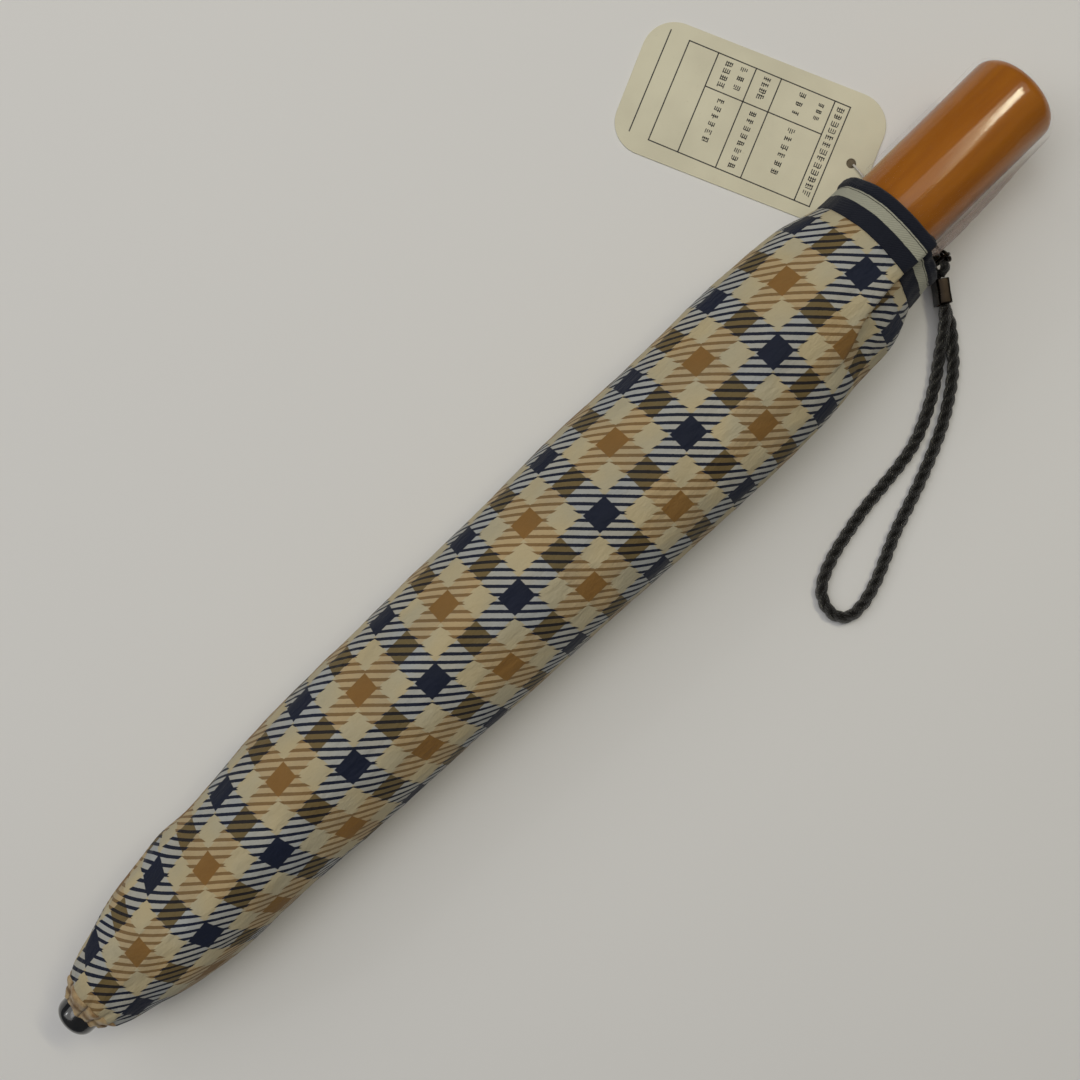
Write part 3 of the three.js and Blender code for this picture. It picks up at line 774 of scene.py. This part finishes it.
def print_lag(x, side):
    """How far the print's columns lag behind where the cloth tapers and is drawn in, at an arc
    distance from the top line: positive on the tag side."""
    i = max(k for k in range(len(PRINT_LAG) - 1) if PRINT_LAG[k][0] <= x or k == 0)
    t = ease(x, PRINT_LAG[i][0], PRINT_LAG[i + 1][0])
    middle, lean, bow_strap, bow_tag = (
        mix(a, b, t) for a, b in zip(PRINT_LAG[i][1:], PRINT_LAG[i + 1][1:])
    )
    side = clamp(side, -24, 24)
    return middle + lean * side + (bow_strap if side < 0 else bow_tag) * side * side


def tuck_shape(x, angle):
    """The cloth's radial folds where it is drawn in towards the ferrule."""
    depth = 0.95 * ease(-x, 157, 171)
    phase = angle * GATHER["tucks"] + 1.3 * math.sin(angle * 2 + 0.7) + 0.9 * math.sin(angle * 3)
    return depth * (abs(math.cos(phase / 2)) ** 0.7 - 0.75) * 1.6


def wrinkle(x, angle):
    """Height of the sleeve's slack and creases, in millimetres."""
    cloth = ease(x, -172, -150)
    swell = 0.75 * wobble(x / 46, angle * 1.1, 3.1)
    folds = 0.45 * wobble(x / 30 + angle * 0.9, angle * 3.2, 7.7)
    ridge = wobble(x / 15 + angle * 1.5, angle * 4.2 - x / 60, 12.3)
    creases = 0.34 * (0.35 - abs(ridge)) * ease(abs(ridge), 0.5, 0.0)
    fine = 0.10 * wobble(x / 5.5, angle * 9, 21.4)
    bump = dip(x + 123, 6.5) * dip(angle - 0.35, 0.38)
    side_fold = 0.8 * ease(x, -162, -150) * ease(-x, 112, 126) * dip(angle - 0.62, 0.11)
    belly = 1.5 * dip(x - 110, 9) * dip(angle - 2.95, 0.5)
    return cloth * (swell + folds + creases + fine) + bump + side_fold + belly


def pleat_line(x):
    """The angle of the pleat's crease, on the strap side."""
    return math.radians(mix(131, 119, ease(x, 90, 106)) + 5 * ease(x, 112, 126))


def pleat_depth(x):
    return ease(x, PLEAT["start"], PLEAT["full"])


def sleeve_point(x, angle, inset, pull=0.0):
    """A point of the cloth, inset from its full shape and pulled along towards the ferrule. The
    cloth flattens where it would pass through the table."""
    centre_y, half_width, centre_z, half_height = section_at(SLEEVE_TABLE, x)
    grow = wrinkle(x, angle) + tuck_shape(x, angle) - inset
    y = centre_y + (half_width + grow) * math.cos(angle)
    z = centre_z + (half_height + grow) * math.sin(angle)
    floor = 0.15 + 0.12 * wobble(x / 9, angle * 6, 2.0)
    if z < 1.2:
        z = max(floor + 0.25 * (z - floor), 0.02) if z > floor else floor
    return Vector((x - pull, y, max(z, 0.02)))


def sleeve_row(x):
    """One ring of the sleeve's cloth from the seam underneath, over the top, to the pleat, under it
    and back to the seam. Returns the points and each point's place around the cloth."""
    crease, depth = pleat_line(x), pleat_depth(x)
    start, end = -math.pi / 2, 3 * math.pi / 2
    points, arcs = [], []

    def add(place, angle, inset, pull=0.0):
        points.append(sleeve_point(x, angle, inset, pull))
        arcs.append(place)

    for j in range(UPPER_COLUMNS + 1):
        angle = mix(start, crease, j / UPPER_COLUMNS)
        add(angle, angle, -0.55 * depth * ease(angle, crease - 0.35, crease))
    tuck = PLEAT["tuck"] / section_at(SLEEVE_TABLE, x)[1]
    for step, (back, inset) in enumerate([(-0.12, 0.25), (0.25, 0.55), (1.0, 0.6), (0.5, 1.0)], 1):
        place = crease + 0.004 * step
        add(place, mix(place, crease - back * tuck, depth), inset * depth * PLEAT["depth"])
    for j in range(LOWER_COLUMNS):
        angle = mix(crease + 0.02, end, j / LOWER_COLUMNS)
        under = angle - crease
        inset = PLEAT["depth"] * depth * (1 - ease(under, 0, 1.3))
        crumple = 0.5 * depth * wobble(x / 6, angle * 7, 31) * (1 - ease(under, 0.7, 1.3))
        pull = 0.8 * ease(under, 0.02, 0.15) + 0.6 * ease(under, 0.15, 0.6) - ease(under, 0.6, 1.2)
        pull *= depth * ease(-angle, -end + 0.2, -crease - 1.2)
        add(angle, angle, inset + crumple, pull)
    arcs.append(end)
    return points, arcs


def sleeve_strip(name, start, end, step, material, thickness, swell=None):
    """Part of the sleeve's cloth between two places along the shaft, with the print's coordinates in
    millimetres as its UV map."""
    count = max(2, round((end - start) / step))
    rows, uvs = [], []
    for i in range(count + 1):
        x = mix(start, end, i / count)
        points, arcs = sleeve_row(x)
        if swell:
            centre = Vector((x, section_at(SLEEVE_TABLE, x)[0], AXIS_Z))
            points = [p + (p - centre).normalized() * swell(x) for p in points]
        rows.append([at(*p) for p in points])
        uvs.append(print_places(x, arcs))
    made = loft(name, rows, material, uvs)
    thicken(made, thickness, -1)
    return made


def print_places(x, arcs):
    """UVs of one ring: distance along, and arc length round from the top line, on the smooth cloth."""
    quarter = math.pi / 2
    half_width, _, half_height = section_at(SLEEVE_TABLE, x)[1:]
    hidden = 2 * PLEAT["tuck"] * pleat_depth(x)
    lengths = [0.0]
    for a, b in zip(arcs, arcs[1:]):
        run = half_width * (math.cos(b) - math.cos(a))
        rise = half_height * (math.sin(b) - math.sin(a))
        lengths.append(lengths[-1] + math.hypot(run, rise))
    i = next(k for k, angle in enumerate(arcs) if angle >= quarter)
    part = (quarter - arcs[i - 1]) / (arcs[i] - arcs[i - 1])
    top = mix(lengths[i - 1], lengths[i], part)
    gathered = 1 + 0.12 * ease(-x, 108, 132)
    places = []
    for i, length in enumerate(lengths):
        around = (top - length - print_drift(x)) * gathered
        if i > UPPER_COLUMNS + 4:
            around -= hidden * 0.4
        places.append((x - PRINT_START - print_lag(x, top - length), around))
    return places


def make_sleeve(plaid, hem, beige):
    cloth = sleeve_strip("sleeve_cloth", GATHER["start"] + 0.3, HEM["start"], 1.25, plaid, 0.35)
    dress(cloth, "sleeve", "sleeve")

    def binding(x):
        roll = 0.5 * ease(x, 127.4, 128.2)
        seam = -0.35 * dip(x - 127.5, 0.25)
        edge = -0.9 * ease(x, 130.2, HEM["end"])
        return 0.25 * ease(x, HEM["start"] - 0.1, HEM["start"] + 0.5) + roll + seam + edge

    band_piece = sleeve_strip("sleeve_hem", HEM["start"] - 0.2, HEM["end"], 0.4, hem, 0.9, binding)
    dress(band_piece, "sleeve_band", "sleeve")

    gather = make_gather(beige)


def make_gather(material):
    """The drawn-in end: folds into a stitched neck, and a ruffled lip beyond it."""
    sides = 220
    stations = 34
    start, stitch, end = GATHER["start"] + 1.2, GATHER["stitch"], GATHER["end"]
    wide, narrow, lip = GATHER["radii"]
    rows, uvs = [], []
    for i in range(stations + 1):
        x = mix(start, end, i / stations)
        base = mix(mix(wide, narrow, ease(-x, 167.5, -stitch)), lip, ease(-x, -stitch, -end))
        neck = 0.3 * dip(x - stitch, 1.1)
        flare = ease(-x, -stitch + 0.3, -end)
        ring = []
        for angle in turns(sides):
            fold = tuck_shape(-171, angle) * mix(1, 0.55, flare)
            ruffle = 0.3 * flare * math.sin(angle * GATHER["tucks"] + 2.2 * math.sin(angle * 3))
            uneven = 0.35 * wobble(x / 2, angle * 5, 41)
            radius = max(base + fold + ruffle + uneven - neck, 6.1)
            lean = 1.5 * flare * wobble(angle * 2.3, 5.5, 8.8)
            ring.append(round_shaft(x + lean, radius, angle))
        rows.append(ring)
        uvs.append([(x - PRINT_START, angle * 8) for angle in turns(sides, True)])
    gather = loft("sleeve_gathered_end", rows, material, uvs)
    thicken(gather, 0.4, 0)
    dress(gather, "sleeve_gather", "sleeve")
    return gather


# ---------------------------------------------------------------- handle, film and ferrule

def make_handle(lacquer):
    corner = (HANDLE_END - HANDLE_ROUNDING, HANDLE_RADIUS - HANDLE_ROUNDING)
    shoulder, bore = HANDLE_SHOULDER, HANDLE_BORE
    profile = [(HANDLE_END, 0)]
    profile += arc(corner, HANDLE_ROUNDING, 0, 90, 14)
    profile += [(mix(corner[0], shoulder["x"], i / 30), HANDLE_RADIUS) for i in range(1, 31)]
    profile += arc((shoulder["x"], HANDLE_RADIUS - shoulder["rounding"]), shoulder["rounding"], 90, 130, 4)
    profile += [(HANDLE_START + 0.4, shoulder["radius"]), (HANDLE_START, shoulder["face"])]
    profile += [(HANDLE_START, bore["radius"]), (bore["bottom"], bore["radius"]), (bore["bottom"], 0)]
    handle = lathe("handle_turning", profile, lacquer)
    dress(handle, "handle", "handle")


def film_fin(x, angle):
    """How far the film's sealed edges stand out on each side of the handle."""
    side = math.cos(angle)
    reach = mix(2.6, 1.0, ease(x, 142, 176)) if side < 0 else 0.5
    return reach * abs(side) ** 14


def make_film(clear):
    """A bag of film with a sealed fin on each side, crumpled a little, closed over the round end."""
    sides, steps = 144, 56
    corner = (HANDLE_END - HANDLE_ROUNDING, HANDLE_RADIUS - HANDLE_ROUNDING)
    radius = HANDLE_RADIUS + FILM["gap"]
    profile = arc(corner, HANDLE_ROUNDING + FILM["gap"], 8, 90, 12)
    profile += [(mix(corner[0], FILM["start"], i / steps), radius) for i in range(1, steps + 1)]
    rows = [[at(HANDLE_END + FILM["gap"], 0, AXIS_Z)] * sides]
    for x, radius in profile:
        fin_part = ease(HANDLE_END + 1 - x, 0, 6) - 0.45 * ease(FILM["start"] + 3 - x, 0, 3)
        ring = []
        for angle in turns(sides):
            crumple = 0.28 * wobble(x / 7, angle * 5, 4.4) + 0.16 * wobble(x / 2.6, angle * 14, 9.1)
            swell = max(0.0, 0.12 + crumple) + film_fin(x, angle) * fin_part
            ring.append(round_shaft(x, radius + swell, angle))
        rows.append(ring)
    film = loft("handle_film_bag", rows, clear)
    weld(film)
    dress(film, "handle_film", "film")


def make_ferrule(gloss):
    """A domed cap with a turned groove, and the bore it sits on the tube by."""
    tip, end, _, radius = extent("ferrule")
    dome = 3.8
    profile = [(tip, 0)]
    for i in range(1, 21):
        depth = (i / 20) ** 2.2
        profile.append((tip + dome * depth, radius * (1 - (1 - depth) ** 2.6) ** (1 / 2.6)))
    profile += [(tip + 9, radius), (tip + 9.25, radius - 0.3), (tip + 9.75, radius - 0.3), (tip + 10, radius)]
    profile += [(end - 0.5, radius), (end, radius - 0.4), (end, 5.4), (tip + 10.7, 5.4), (tip + 10.7, 0)]
    ferrule = lathe("ferrule_cap", profile, gloss)
    dress(ferrule, "ferrule", "upper_shaft")


# ---------------------------------------------------------------- cords and hardware

NECK_ROUTE = [
    (136.15, -21.55, 4.9), (136.6, -21.1, 5.8), (136.9, -20.9, 7.4), (136.9, -20.7, 9.6),
    (136.8, -20.0, 11.9), (136.7, -18.3, 13.0), (136.6, -16.5, 11.6), (136.5, -16.2, 9.2),
    (136.4, -16.9, 6.6), (136.3, -18.2, 4.3), (136.5, -20.0, 2.5), (136.15, -21.55, 2.1),
]
CORD_ROUTE = [
    (131.5, -28.9, 1.9), (130.9, -30.8, 1.9), (129.2, -34.0, 1.9), (126.1, -37.9, 1.9), (121.4, -43.0, 1.9),
    (115.2, -47.8, 1.9), (108.0, -52.3, 1.9), (99.6, -56.3, 1.9), (90.8, -59.9, 1.9), (83.7, -62.4, 1.9),
    (77.0, -64.8, 1.9), (70.6, -67.7, 1.9), (65.2, -70.1, 1.9), (60.1, -71.9, 1.9), (55.7, -72.8, 1.9),
    (51.4, -72.5, 1.9), (48.8, -69.9, 1.9), (48.6, -65.9, 1.9), (50.7, -61.9, 1.9), (54.5, -59.3, 1.9),
    (60.8, -56.9, 1.9), (68.1, -55.2, 1.9), (76.0, -53.7, 1.9), (84.0, -52.8, 1.9), (91.6, -51.9, 1.9),
    (98.5, -50.5, 1.9), (105.2, -47.8, 1.9), (111.4, -44.5, 1.9), (116.4, -41.2, 2.1), (121.0, -37.5, 2.9),
    (124.4, -34.7, 4.2), (127.4, -32.2, 4.9), (129.8, -29.8, 5.3), (130.8, -28.3, 5.4),
]
THREAD_ROUTE = [
    (142.0, 18.05, 0.8), (141.8, 15.7, 1.0), (141.4, 12.4, 0.9), (140.9, 8.5, 0.6), (140.4, 4.0, 0.5),
    (140.0, -1.0, 0.5), (139.6, -6.0, 0.5), (139.2, -10.5, 0.8), (138.9, -14.3, 2.2), (138.8, -17.0, 5.2),
    (138.0, -18.2, 8.4), (136.9, -18.4, 9.9),
]


def route(points, spacing=0.6):
    return smooth_path([at(*p) for p in points], spacing * MM)


def make_cords(yarn, nylon):
    neck_path = route(NECK_ROUTE, 0.35)
    neck = rope("cord_neck_bight", neck_path, NECK_DIAMETER * MM, yarn, pitch=8)
    dress(neck, "cord_neck", "strap")

    path = route(CORD_ROUTE)
    cord = rope("wrist_cord_loop", path, CORD_DIAMETER * MM, yarn)
    dress(cord, "wrist_cord", "strap")

    thread_path = route(THREAD_ROUTE)
    thread = tube("tag_thread_line", thread_path, THREAD_DIAMETER / 2 * MM, nylon, sides=10)
    dress(thread, "tag_thread", "tag")


def make_clasp(chrome):
    """A strip of metal folded round the two ends of the cord: two plates and their fold, with a
    slit between them along the open side."""
    low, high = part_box("cord_clasp")
    length, width, height = CLASP["length"] * MM, CLASP["width"] * MM, CLASP["height"] * MM
    wall, rounding = CLASP["wall"] * MM, CLASP["rounding"] * MM
    slit = height * 0.08
    outline = [(width / 2, slit)]
    for quarter, (sy, sz) in enumerate([(1, 1), (-1, 1), (-1, -1), (1, -1)]):
        corner = (sy * (width / 2 - rounding), sz * (height / 2 - rounding))
        outline += arc(corner, rounding, 90 * quarter, 90 * quarter + 90, 4)
    outline.append((width / 2, -slit))
    inner = [(y * (1 - 2 * wall / width), z * (1 - 2 * wall / height)) for y, z in reversed(outline)]
    section = outline + inner
    rows = []
    steps = 14
    for part in (i / steps for i in range(steps + 1)):
        pinch = 1 - 0.05 * dip(part - 0.5, 0.2)
        rows.append([Vector((mix(-length / 2, length / 2, part), y * pinch, z)) for y, z in section])
    clasp = loft("cord_clasp_crimp", rows, chrome, caps=True)
    weld(clasp)
    turn = Matrix.Rotation(math.radians(CLASP["turn"]), 4, "Z")
    clasp.data.transform(Matrix.Translation((low + high) / 2) @ turn)
    bevelled(clasp, 0.12)
    dress(clasp, "cord_clasp", "strap")


def make_link(chrome):
    """An oval wire link that hangs upright from the eye, its ends butted at one side."""
    pose = Matrix.Rotation(-0.15, 3, "Z") @ Matrix.Rotation(-0.11, 3, "X")
    steps = 72
    points = []
    for i in range(steps + 1):
        angle = mix(0.05, TAU - 0.05, i / steps)
        spot = Vector((LINK["half_width"] * math.cos(angle), 0, LINK["half_height"] * math.sin(angle)))
        points.append(at(*(LINK["place"] + pose @ spot)))
    link = tube("strap_link", points, LINK["wire"] * MM, chrome, sides=14)
    dress(link, "strap_ring", "strap")


def make_screw_eye(chrome):
    """A wire loop closed on itself, whose threaded shank goes into the handle."""
    place, radius, wire = EYE["place"], EYE["radius"], EYE["wire"]
    loop_path = [
        at(place.x, place.y + across, place.z + up) for across, up in arc((0, 0), radius, -235, 105, 40)
    ]
    loop = tube("screw_eye_loop", loop_path, wire * MM, chrome)
    steps = 60
    neck = place.y + radius - 0.2
    shank_path = [at(place.x, mix(neck, EYE["shank_end"], i / steps), place.z) for i in range(steps + 1)]
    rows, uvs = tube_rows(shank_path, wire * MM, 16)
    for i, (row, middle) in enumerate(zip(rows, shank_path)):
        for j, point in enumerate(row):
            groove = 0.14 * max(0, math.sin(TAU * (i / 6 + j / 16))) * ease(i / steps, 0.35, 0.5)
            row[j] = middle + (point - middle) * (1 - groove)
    shank = loft("screw_eye_shank", rows, chrome, uvs, caps=True)
    eye = joined("screw_eye", [loop, shank])
    dress(eye, "strap_eye", "handle")


# ---------------------------------------------------------------- tag

def tag_place(along, across, height):
    """A point of the card from its far end and its left edge, in millimetres, in the frame."""
    local = Vector((TAG["length"] - TAG["inset"] - along, across - TAG["width"] / 2, height))
    turned = Matrix.Rotation(TAG_TURN, 3, "Z") @ local
    return at(*(turned + TAG_HOLE))


def make_tag(card, ink, shade):
    length, width, corner = TAG["length"], TAG["width"], TAG["corner"]
    outline = []
    for cx, cy, start in [(length - corner, corner, -90), (length - corner, width - corner, 0),
                          (corner, width - corner, 90), (corner, corner, 180)]:
        outline += arc((cx, cy), corner, start, start + 90, 12)
    hole = arc((length - TAG["inset"], width / 2), TAG["hole"], 0, 360 * 27 / 28, 27)
    work = bmesh.new()
    loops = []
    for ring in (outline, hole):
        verts = [work.verts.new(tag_place(x, y, TAG["thickness"])) for x, y in ring]
        loops += [work.edges.new((a, b)) for a, b in zip(verts, verts[1:] + verts[:1])]
    filled = bmesh.ops.triangle_fill(work, edges=loops, use_beauty=True)
    faces = [f for f in filled["geom"] if isinstance(f, bmesh.types.BMFace)]
    extruded = bmesh.ops.extrude_face_region(work, geom=faces)
    low = [v for v in extruded["geom"] if isinstance(v, bmesh.types.BMVert)]
    bmesh.ops.translate(work, verts=low, vec=(0, 0, -TAG["thickness"] * MM + 0.00002))
    bmesh.ops.recalc_face_normals(work, faces=work.faces)
    mesh = bpy.data.meshes.new("hang_tag_card")
    work.to_mesh(mesh)
    work.free()
    mesh.materials.append(card)
    tag = bpy.data.objects.new("hang_tag_card", mesh)
    bpy.context.scene.collection.objects.link(tag)
    bevelled(tag, 0.08, 1)
    dress(tag, "hang_tag", "tag")

    for piece in (make_painted_hole_shade(shade), make_tag_print(ink)):
        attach(piece, "tag")


def make_painted_hole_shade(dark):
    """A dark disc under the punched hole: painted shade seen through the hole."""
    rim = arc((TAG["length"] - TAG["inset"], TAG["width"] / 2), TAG["hole"] + 0.2, 0, 360 * 27 / 28, 27)
    vertices = [tag_place(x, y, 0.06) for x, y in rim]
    return add_object("hang_tag_hole_painted_shade", vertices, [tuple(range(len(vertices)))], dark, smooth=False)


def make_tag_print(ink):
    """A ruled table with short generic marks in its cells, turned a little on the card."""
    vertices, faces = [], []
    height = TAG["thickness"] + 0.012

    def bar(along0, across0, along1, across1):
        base = len(vertices)
        for along, across in [(along0, across0), (along1, across0), (along1, across1), (along0, across1)]:
            offset = turn @ Vector((along - top, across - left))
            vertices.append(tag_place(top + offset.x, left + offset.y, height))
        faces.append((base, base + 1, base + 2, base + 3))

    line = TABLE["line"]
    top, bottom, left, right = (TABLE[side] for side in ("top", "bottom", "left", "right"))
    turn = Matrix.Rotation(TABLE["turn"], 2)

    def rule_across(along, start=left, end=right):
        bar(along - line / 2, start, along + line / 2, end)

    def rule_along(across, start, end):
        bar(start, across - line / 2, end, across + line / 2)

    rule_across(6, 3, 34.4)
    for along in (top, 21, 32.6, 40.3, 56.8, bottom):
        rule_across(along)
    for across in (left, right):
        rule_along(across, top - line / 2, bottom + line / 2)
    rule_along(TABLE["column"], 21, 56.8)

    rng = random.Random(7)

    def marks(along, start, end, size, gap):
        """A column of blocks of a few short strokes each."""
        across = start
        while across + size <= end:
            for k in range(4):
                offset = mix(-0.55, 0.55, k / 3) * size
                reach = size * rng.uniform(0.5, 0.95)
                bar(along + offset - 0.14, across, along + offset + 0.14, across + reach)
            for part in (0.25, 0.7):
                if rng.random() < 0.6:
                    middle = across + size * rng.uniform(part - 0.1, part + 0.1)
                    bar(along - size * 0.55, middle - 0.13, along + size * 0.55, middle + 0.13)
            across += size + gap

    for column in (
        (59.2, 5.2, 33, 1.7, 0.42), (53.6, 6.2, 13.2, 1.2, 0.75), (47.6, 5.4, 13.4, 1.5, 1.3),
        (36.6, 5.2, 13.4, 1.6, 0.12), (29.5, 5.2, 13.2, 1.5, 1.2), (25.0, 5.2, 13.2, 1.6, 0.5),
        (48.5, 16, 31.5, 1.6, 0.9), (36.6, 15.8, 33.4, 1.5, 0.75), (26.8, 16, 31, 1.5, 0.8),
    ):
        marks(*column)
    return add_object("hang_tag_print", vertices, faces, ink, smooth=False)


# ---------------------------------------------------------------- folded canopy and frame

def canopy_outline():
    """The folded canopy's mean radius and centre at places along the shaft, by rays at its solid."""
    tree = BVHTree.FromObject(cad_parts["canopy"], bpy.context.evaluated_depsgraph_get())
    low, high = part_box("canopy")
    stations = 110
    table = []
    for i in range(stations + 1):
        x = mix(low.x + 0.0002, high.x - 0.0002, i / stations)
        hits = []
        for angle in turns(24):
            out = Vector((0, math.cos(angle), math.sin(angle)))
            start = Vector((x, FRAME_SHIFT.y * MM, AXIS_Z * MM)) + out * 0.05
            hit = tree.ray_cast(start, -out)[0]
            hits.append(hit if hit else start - out * 0.042)
        centre = sum(hits, Vector()) / len(hits)
        radius = sum((h - centre).length for h in hits) / len(hits)
        table.append((x / MM - FRAME_SHIFT.x, centre.y / MM - FRAME_SHIFT.y, radius / MM))
    return table


def make_canopy(plaid, nickel):
    """Eight gores wrapped one over the next round the frame, held by a strap with a snap."""
    sides = 240
    gores = 8
    table = canopy_outline()
    rows, uvs = [], []
    for x, centre_y, radius in table:
        loose = ease(radius, 9, 15)
        ring, places = [], []
        for angle in turns(sides):
            turn = (angle * gores / TAU + x / 210 + 0.06 * math.sin(angle * 3 + x / 30)) % 1.0
            lap = turn if turn < 0.94 else (1 - turn) / 0.06 * 0.94
            fold = (lap - 0.5) * 1.5 * loose
            creases = 0.5 * wobble(x / 26, angle * 7, 51) + 0.25 * wobble(x / 7, angle * 15, 55)
            r = min(radius - 0.55 + fold + creases * loose, radius + 0.5)
            ring.append(round_shaft(x, r, angle, centre_y))
            places.append((x - PRINT_START + turn * 4, angle * 21 + turn * 9))
        places.append((places[0][0], TAU * 21 + places[0][1]))
        rows.append(ring)
        uvs.append(places)
    mouth, outside = table[-1][0], uvs[-1]
    for depth in (0.4, 2.0, 6.0, 14.0):
        ruffle = 0.32 * ease(depth, 0, 3)
        rows.append([
            round_shaft(mouth - depth + 0.4, CANOPY_BORE + ruffle * math.sin(angle * 16), angle)
            for angle in turns(sides)
        ])
        uvs.append([(u + depth, v) for u, v in outside])
    bundle = loft("folded_canopy", rows, plaid, uvs)
    dress(bundle, "canopy", "upper_shaft")
    make_tie_strap(plaid)
    make_snap(nickel)


def make_tie_strap(plaid):
    start, end, centre_y, outer = extent("tie_strap")
    sides = 160
    rows, uvs = [], []
    columns = 24
    for i in range(columns + 1):
        part = i / columns
        x = mix(start, end, part)
        hem = 0.22 * (ease(abs(part - 0.5), 0.36, 0.42))
        stitch = 0.16 * dip(abs(part - 0.5) - 0.36, 0.012)
        ring = []
        for angle in turns(sides):
            lap = 0.35 * ease(math.cos(angle - 1.9), 0.1, 0.35)
            r = outer - 0.75 + hem - stitch + lap + 0.12 * wobble(x / 4, angle * 6, 61)
            ring.append(round_shaft(x, r, angle, centre_y))
        rows.append(ring)
        uvs.append([(x - PRINT_START + 9, angle * outer) for angle in turns(sides, True)])
    strap = loft("canopy_tie_strap", rows, plaid, uvs)
    thicken(strap, 0.6, 0)
    dress(strap, "tie_strap", "upper_shaft")


def make_snap(nickel):
    """A pressed snap cap: a rolled rim round a shallow dome with a dimple."""
    low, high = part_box("tie_snap")
    base = Vector(((low.x + high.x) / 2, (low.y + high.y) / 2, low.z - 0.1 * MM))
    profile = [(0, 0), (3.3, 0), (3.55, 0.15), (3.6, 0.35), (3.4, 0.6), (3.05, 0.62), (2.75, 0.42),
               (2.4, 0.5), (1.7, 0.78), (1.0, 0.86), (0.6, 0.7), (0, 0.62)]
    rows = []
    for angle in turns(48, True):
        side, up = math.cos(angle), math.sin(angle)
        rows.append([base + Vector((r * side, r * up, z)) * MM for r, z in profile])
    snap = loft("canopy_snap_cap", rows, nickel, closed=False)
    weld(snap)
    dress(snap, "tie_snap", "upper_shaft")


def dress_frame(nickel, plastic):
    """Better finishes for the frame pieces that keep their own shape."""
    black = ("tube_bushing", "top_notch", "runner")
    for name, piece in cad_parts.items():
        if name in REPLACED:
            continue
        finish = plastic if name in black else nickel
        if not piece.data.materials:
            piece.data.materials.append(finish)
        for slot in piece.material_slots:
            slot.material = finish


def make_floor():
    places = [mix(-3, 3, i / 8) for i in range(9)]
    floor = loft("floor", [[Vector((x, y, 0)) for x in places] for y in places], floor_finish(), closed=False)


def main():
    make_camera()
    make_studio()
    make_floor()
    yarn = cord_finish()
    nylon = thread_finish()
    chrome = metal_finish("dark_chrome", (0.018, 0.014, 0.011), 0.3, (300, 300, 300))
    nickel = metal_finish("nickel_plate", (0.62, 0.60, 0.56), 0.26, (30, 900, 900))
    plaid = plaid_finish()
    make_cords(yarn, nylon)
    make_clasp(chrome)
    make_link(chrome)
    make_screw_eye(chrome)
    make_sleeve(plaid, hem_finish(), gather_finish())
    make_handle(lacquer_finish())
    make_film(film_finish())
    make_ferrule(gloss_black_finish())
    ink = ink_finish("printing_ink", (0.016, 0.015, 0.014), (0.06, 0.055, 0.045))
    # Painted shade for the tag's punched hole.
    shade = ink_finish("painted_hole_shade", (0.085, 0.062, 0.03), (0.13, 0.10, 0.055))
    make_tag(card_finish(), ink, shade)
    make_canopy(plaid, nickel)
    dress_frame(nickel, matt_black_finish())


main()
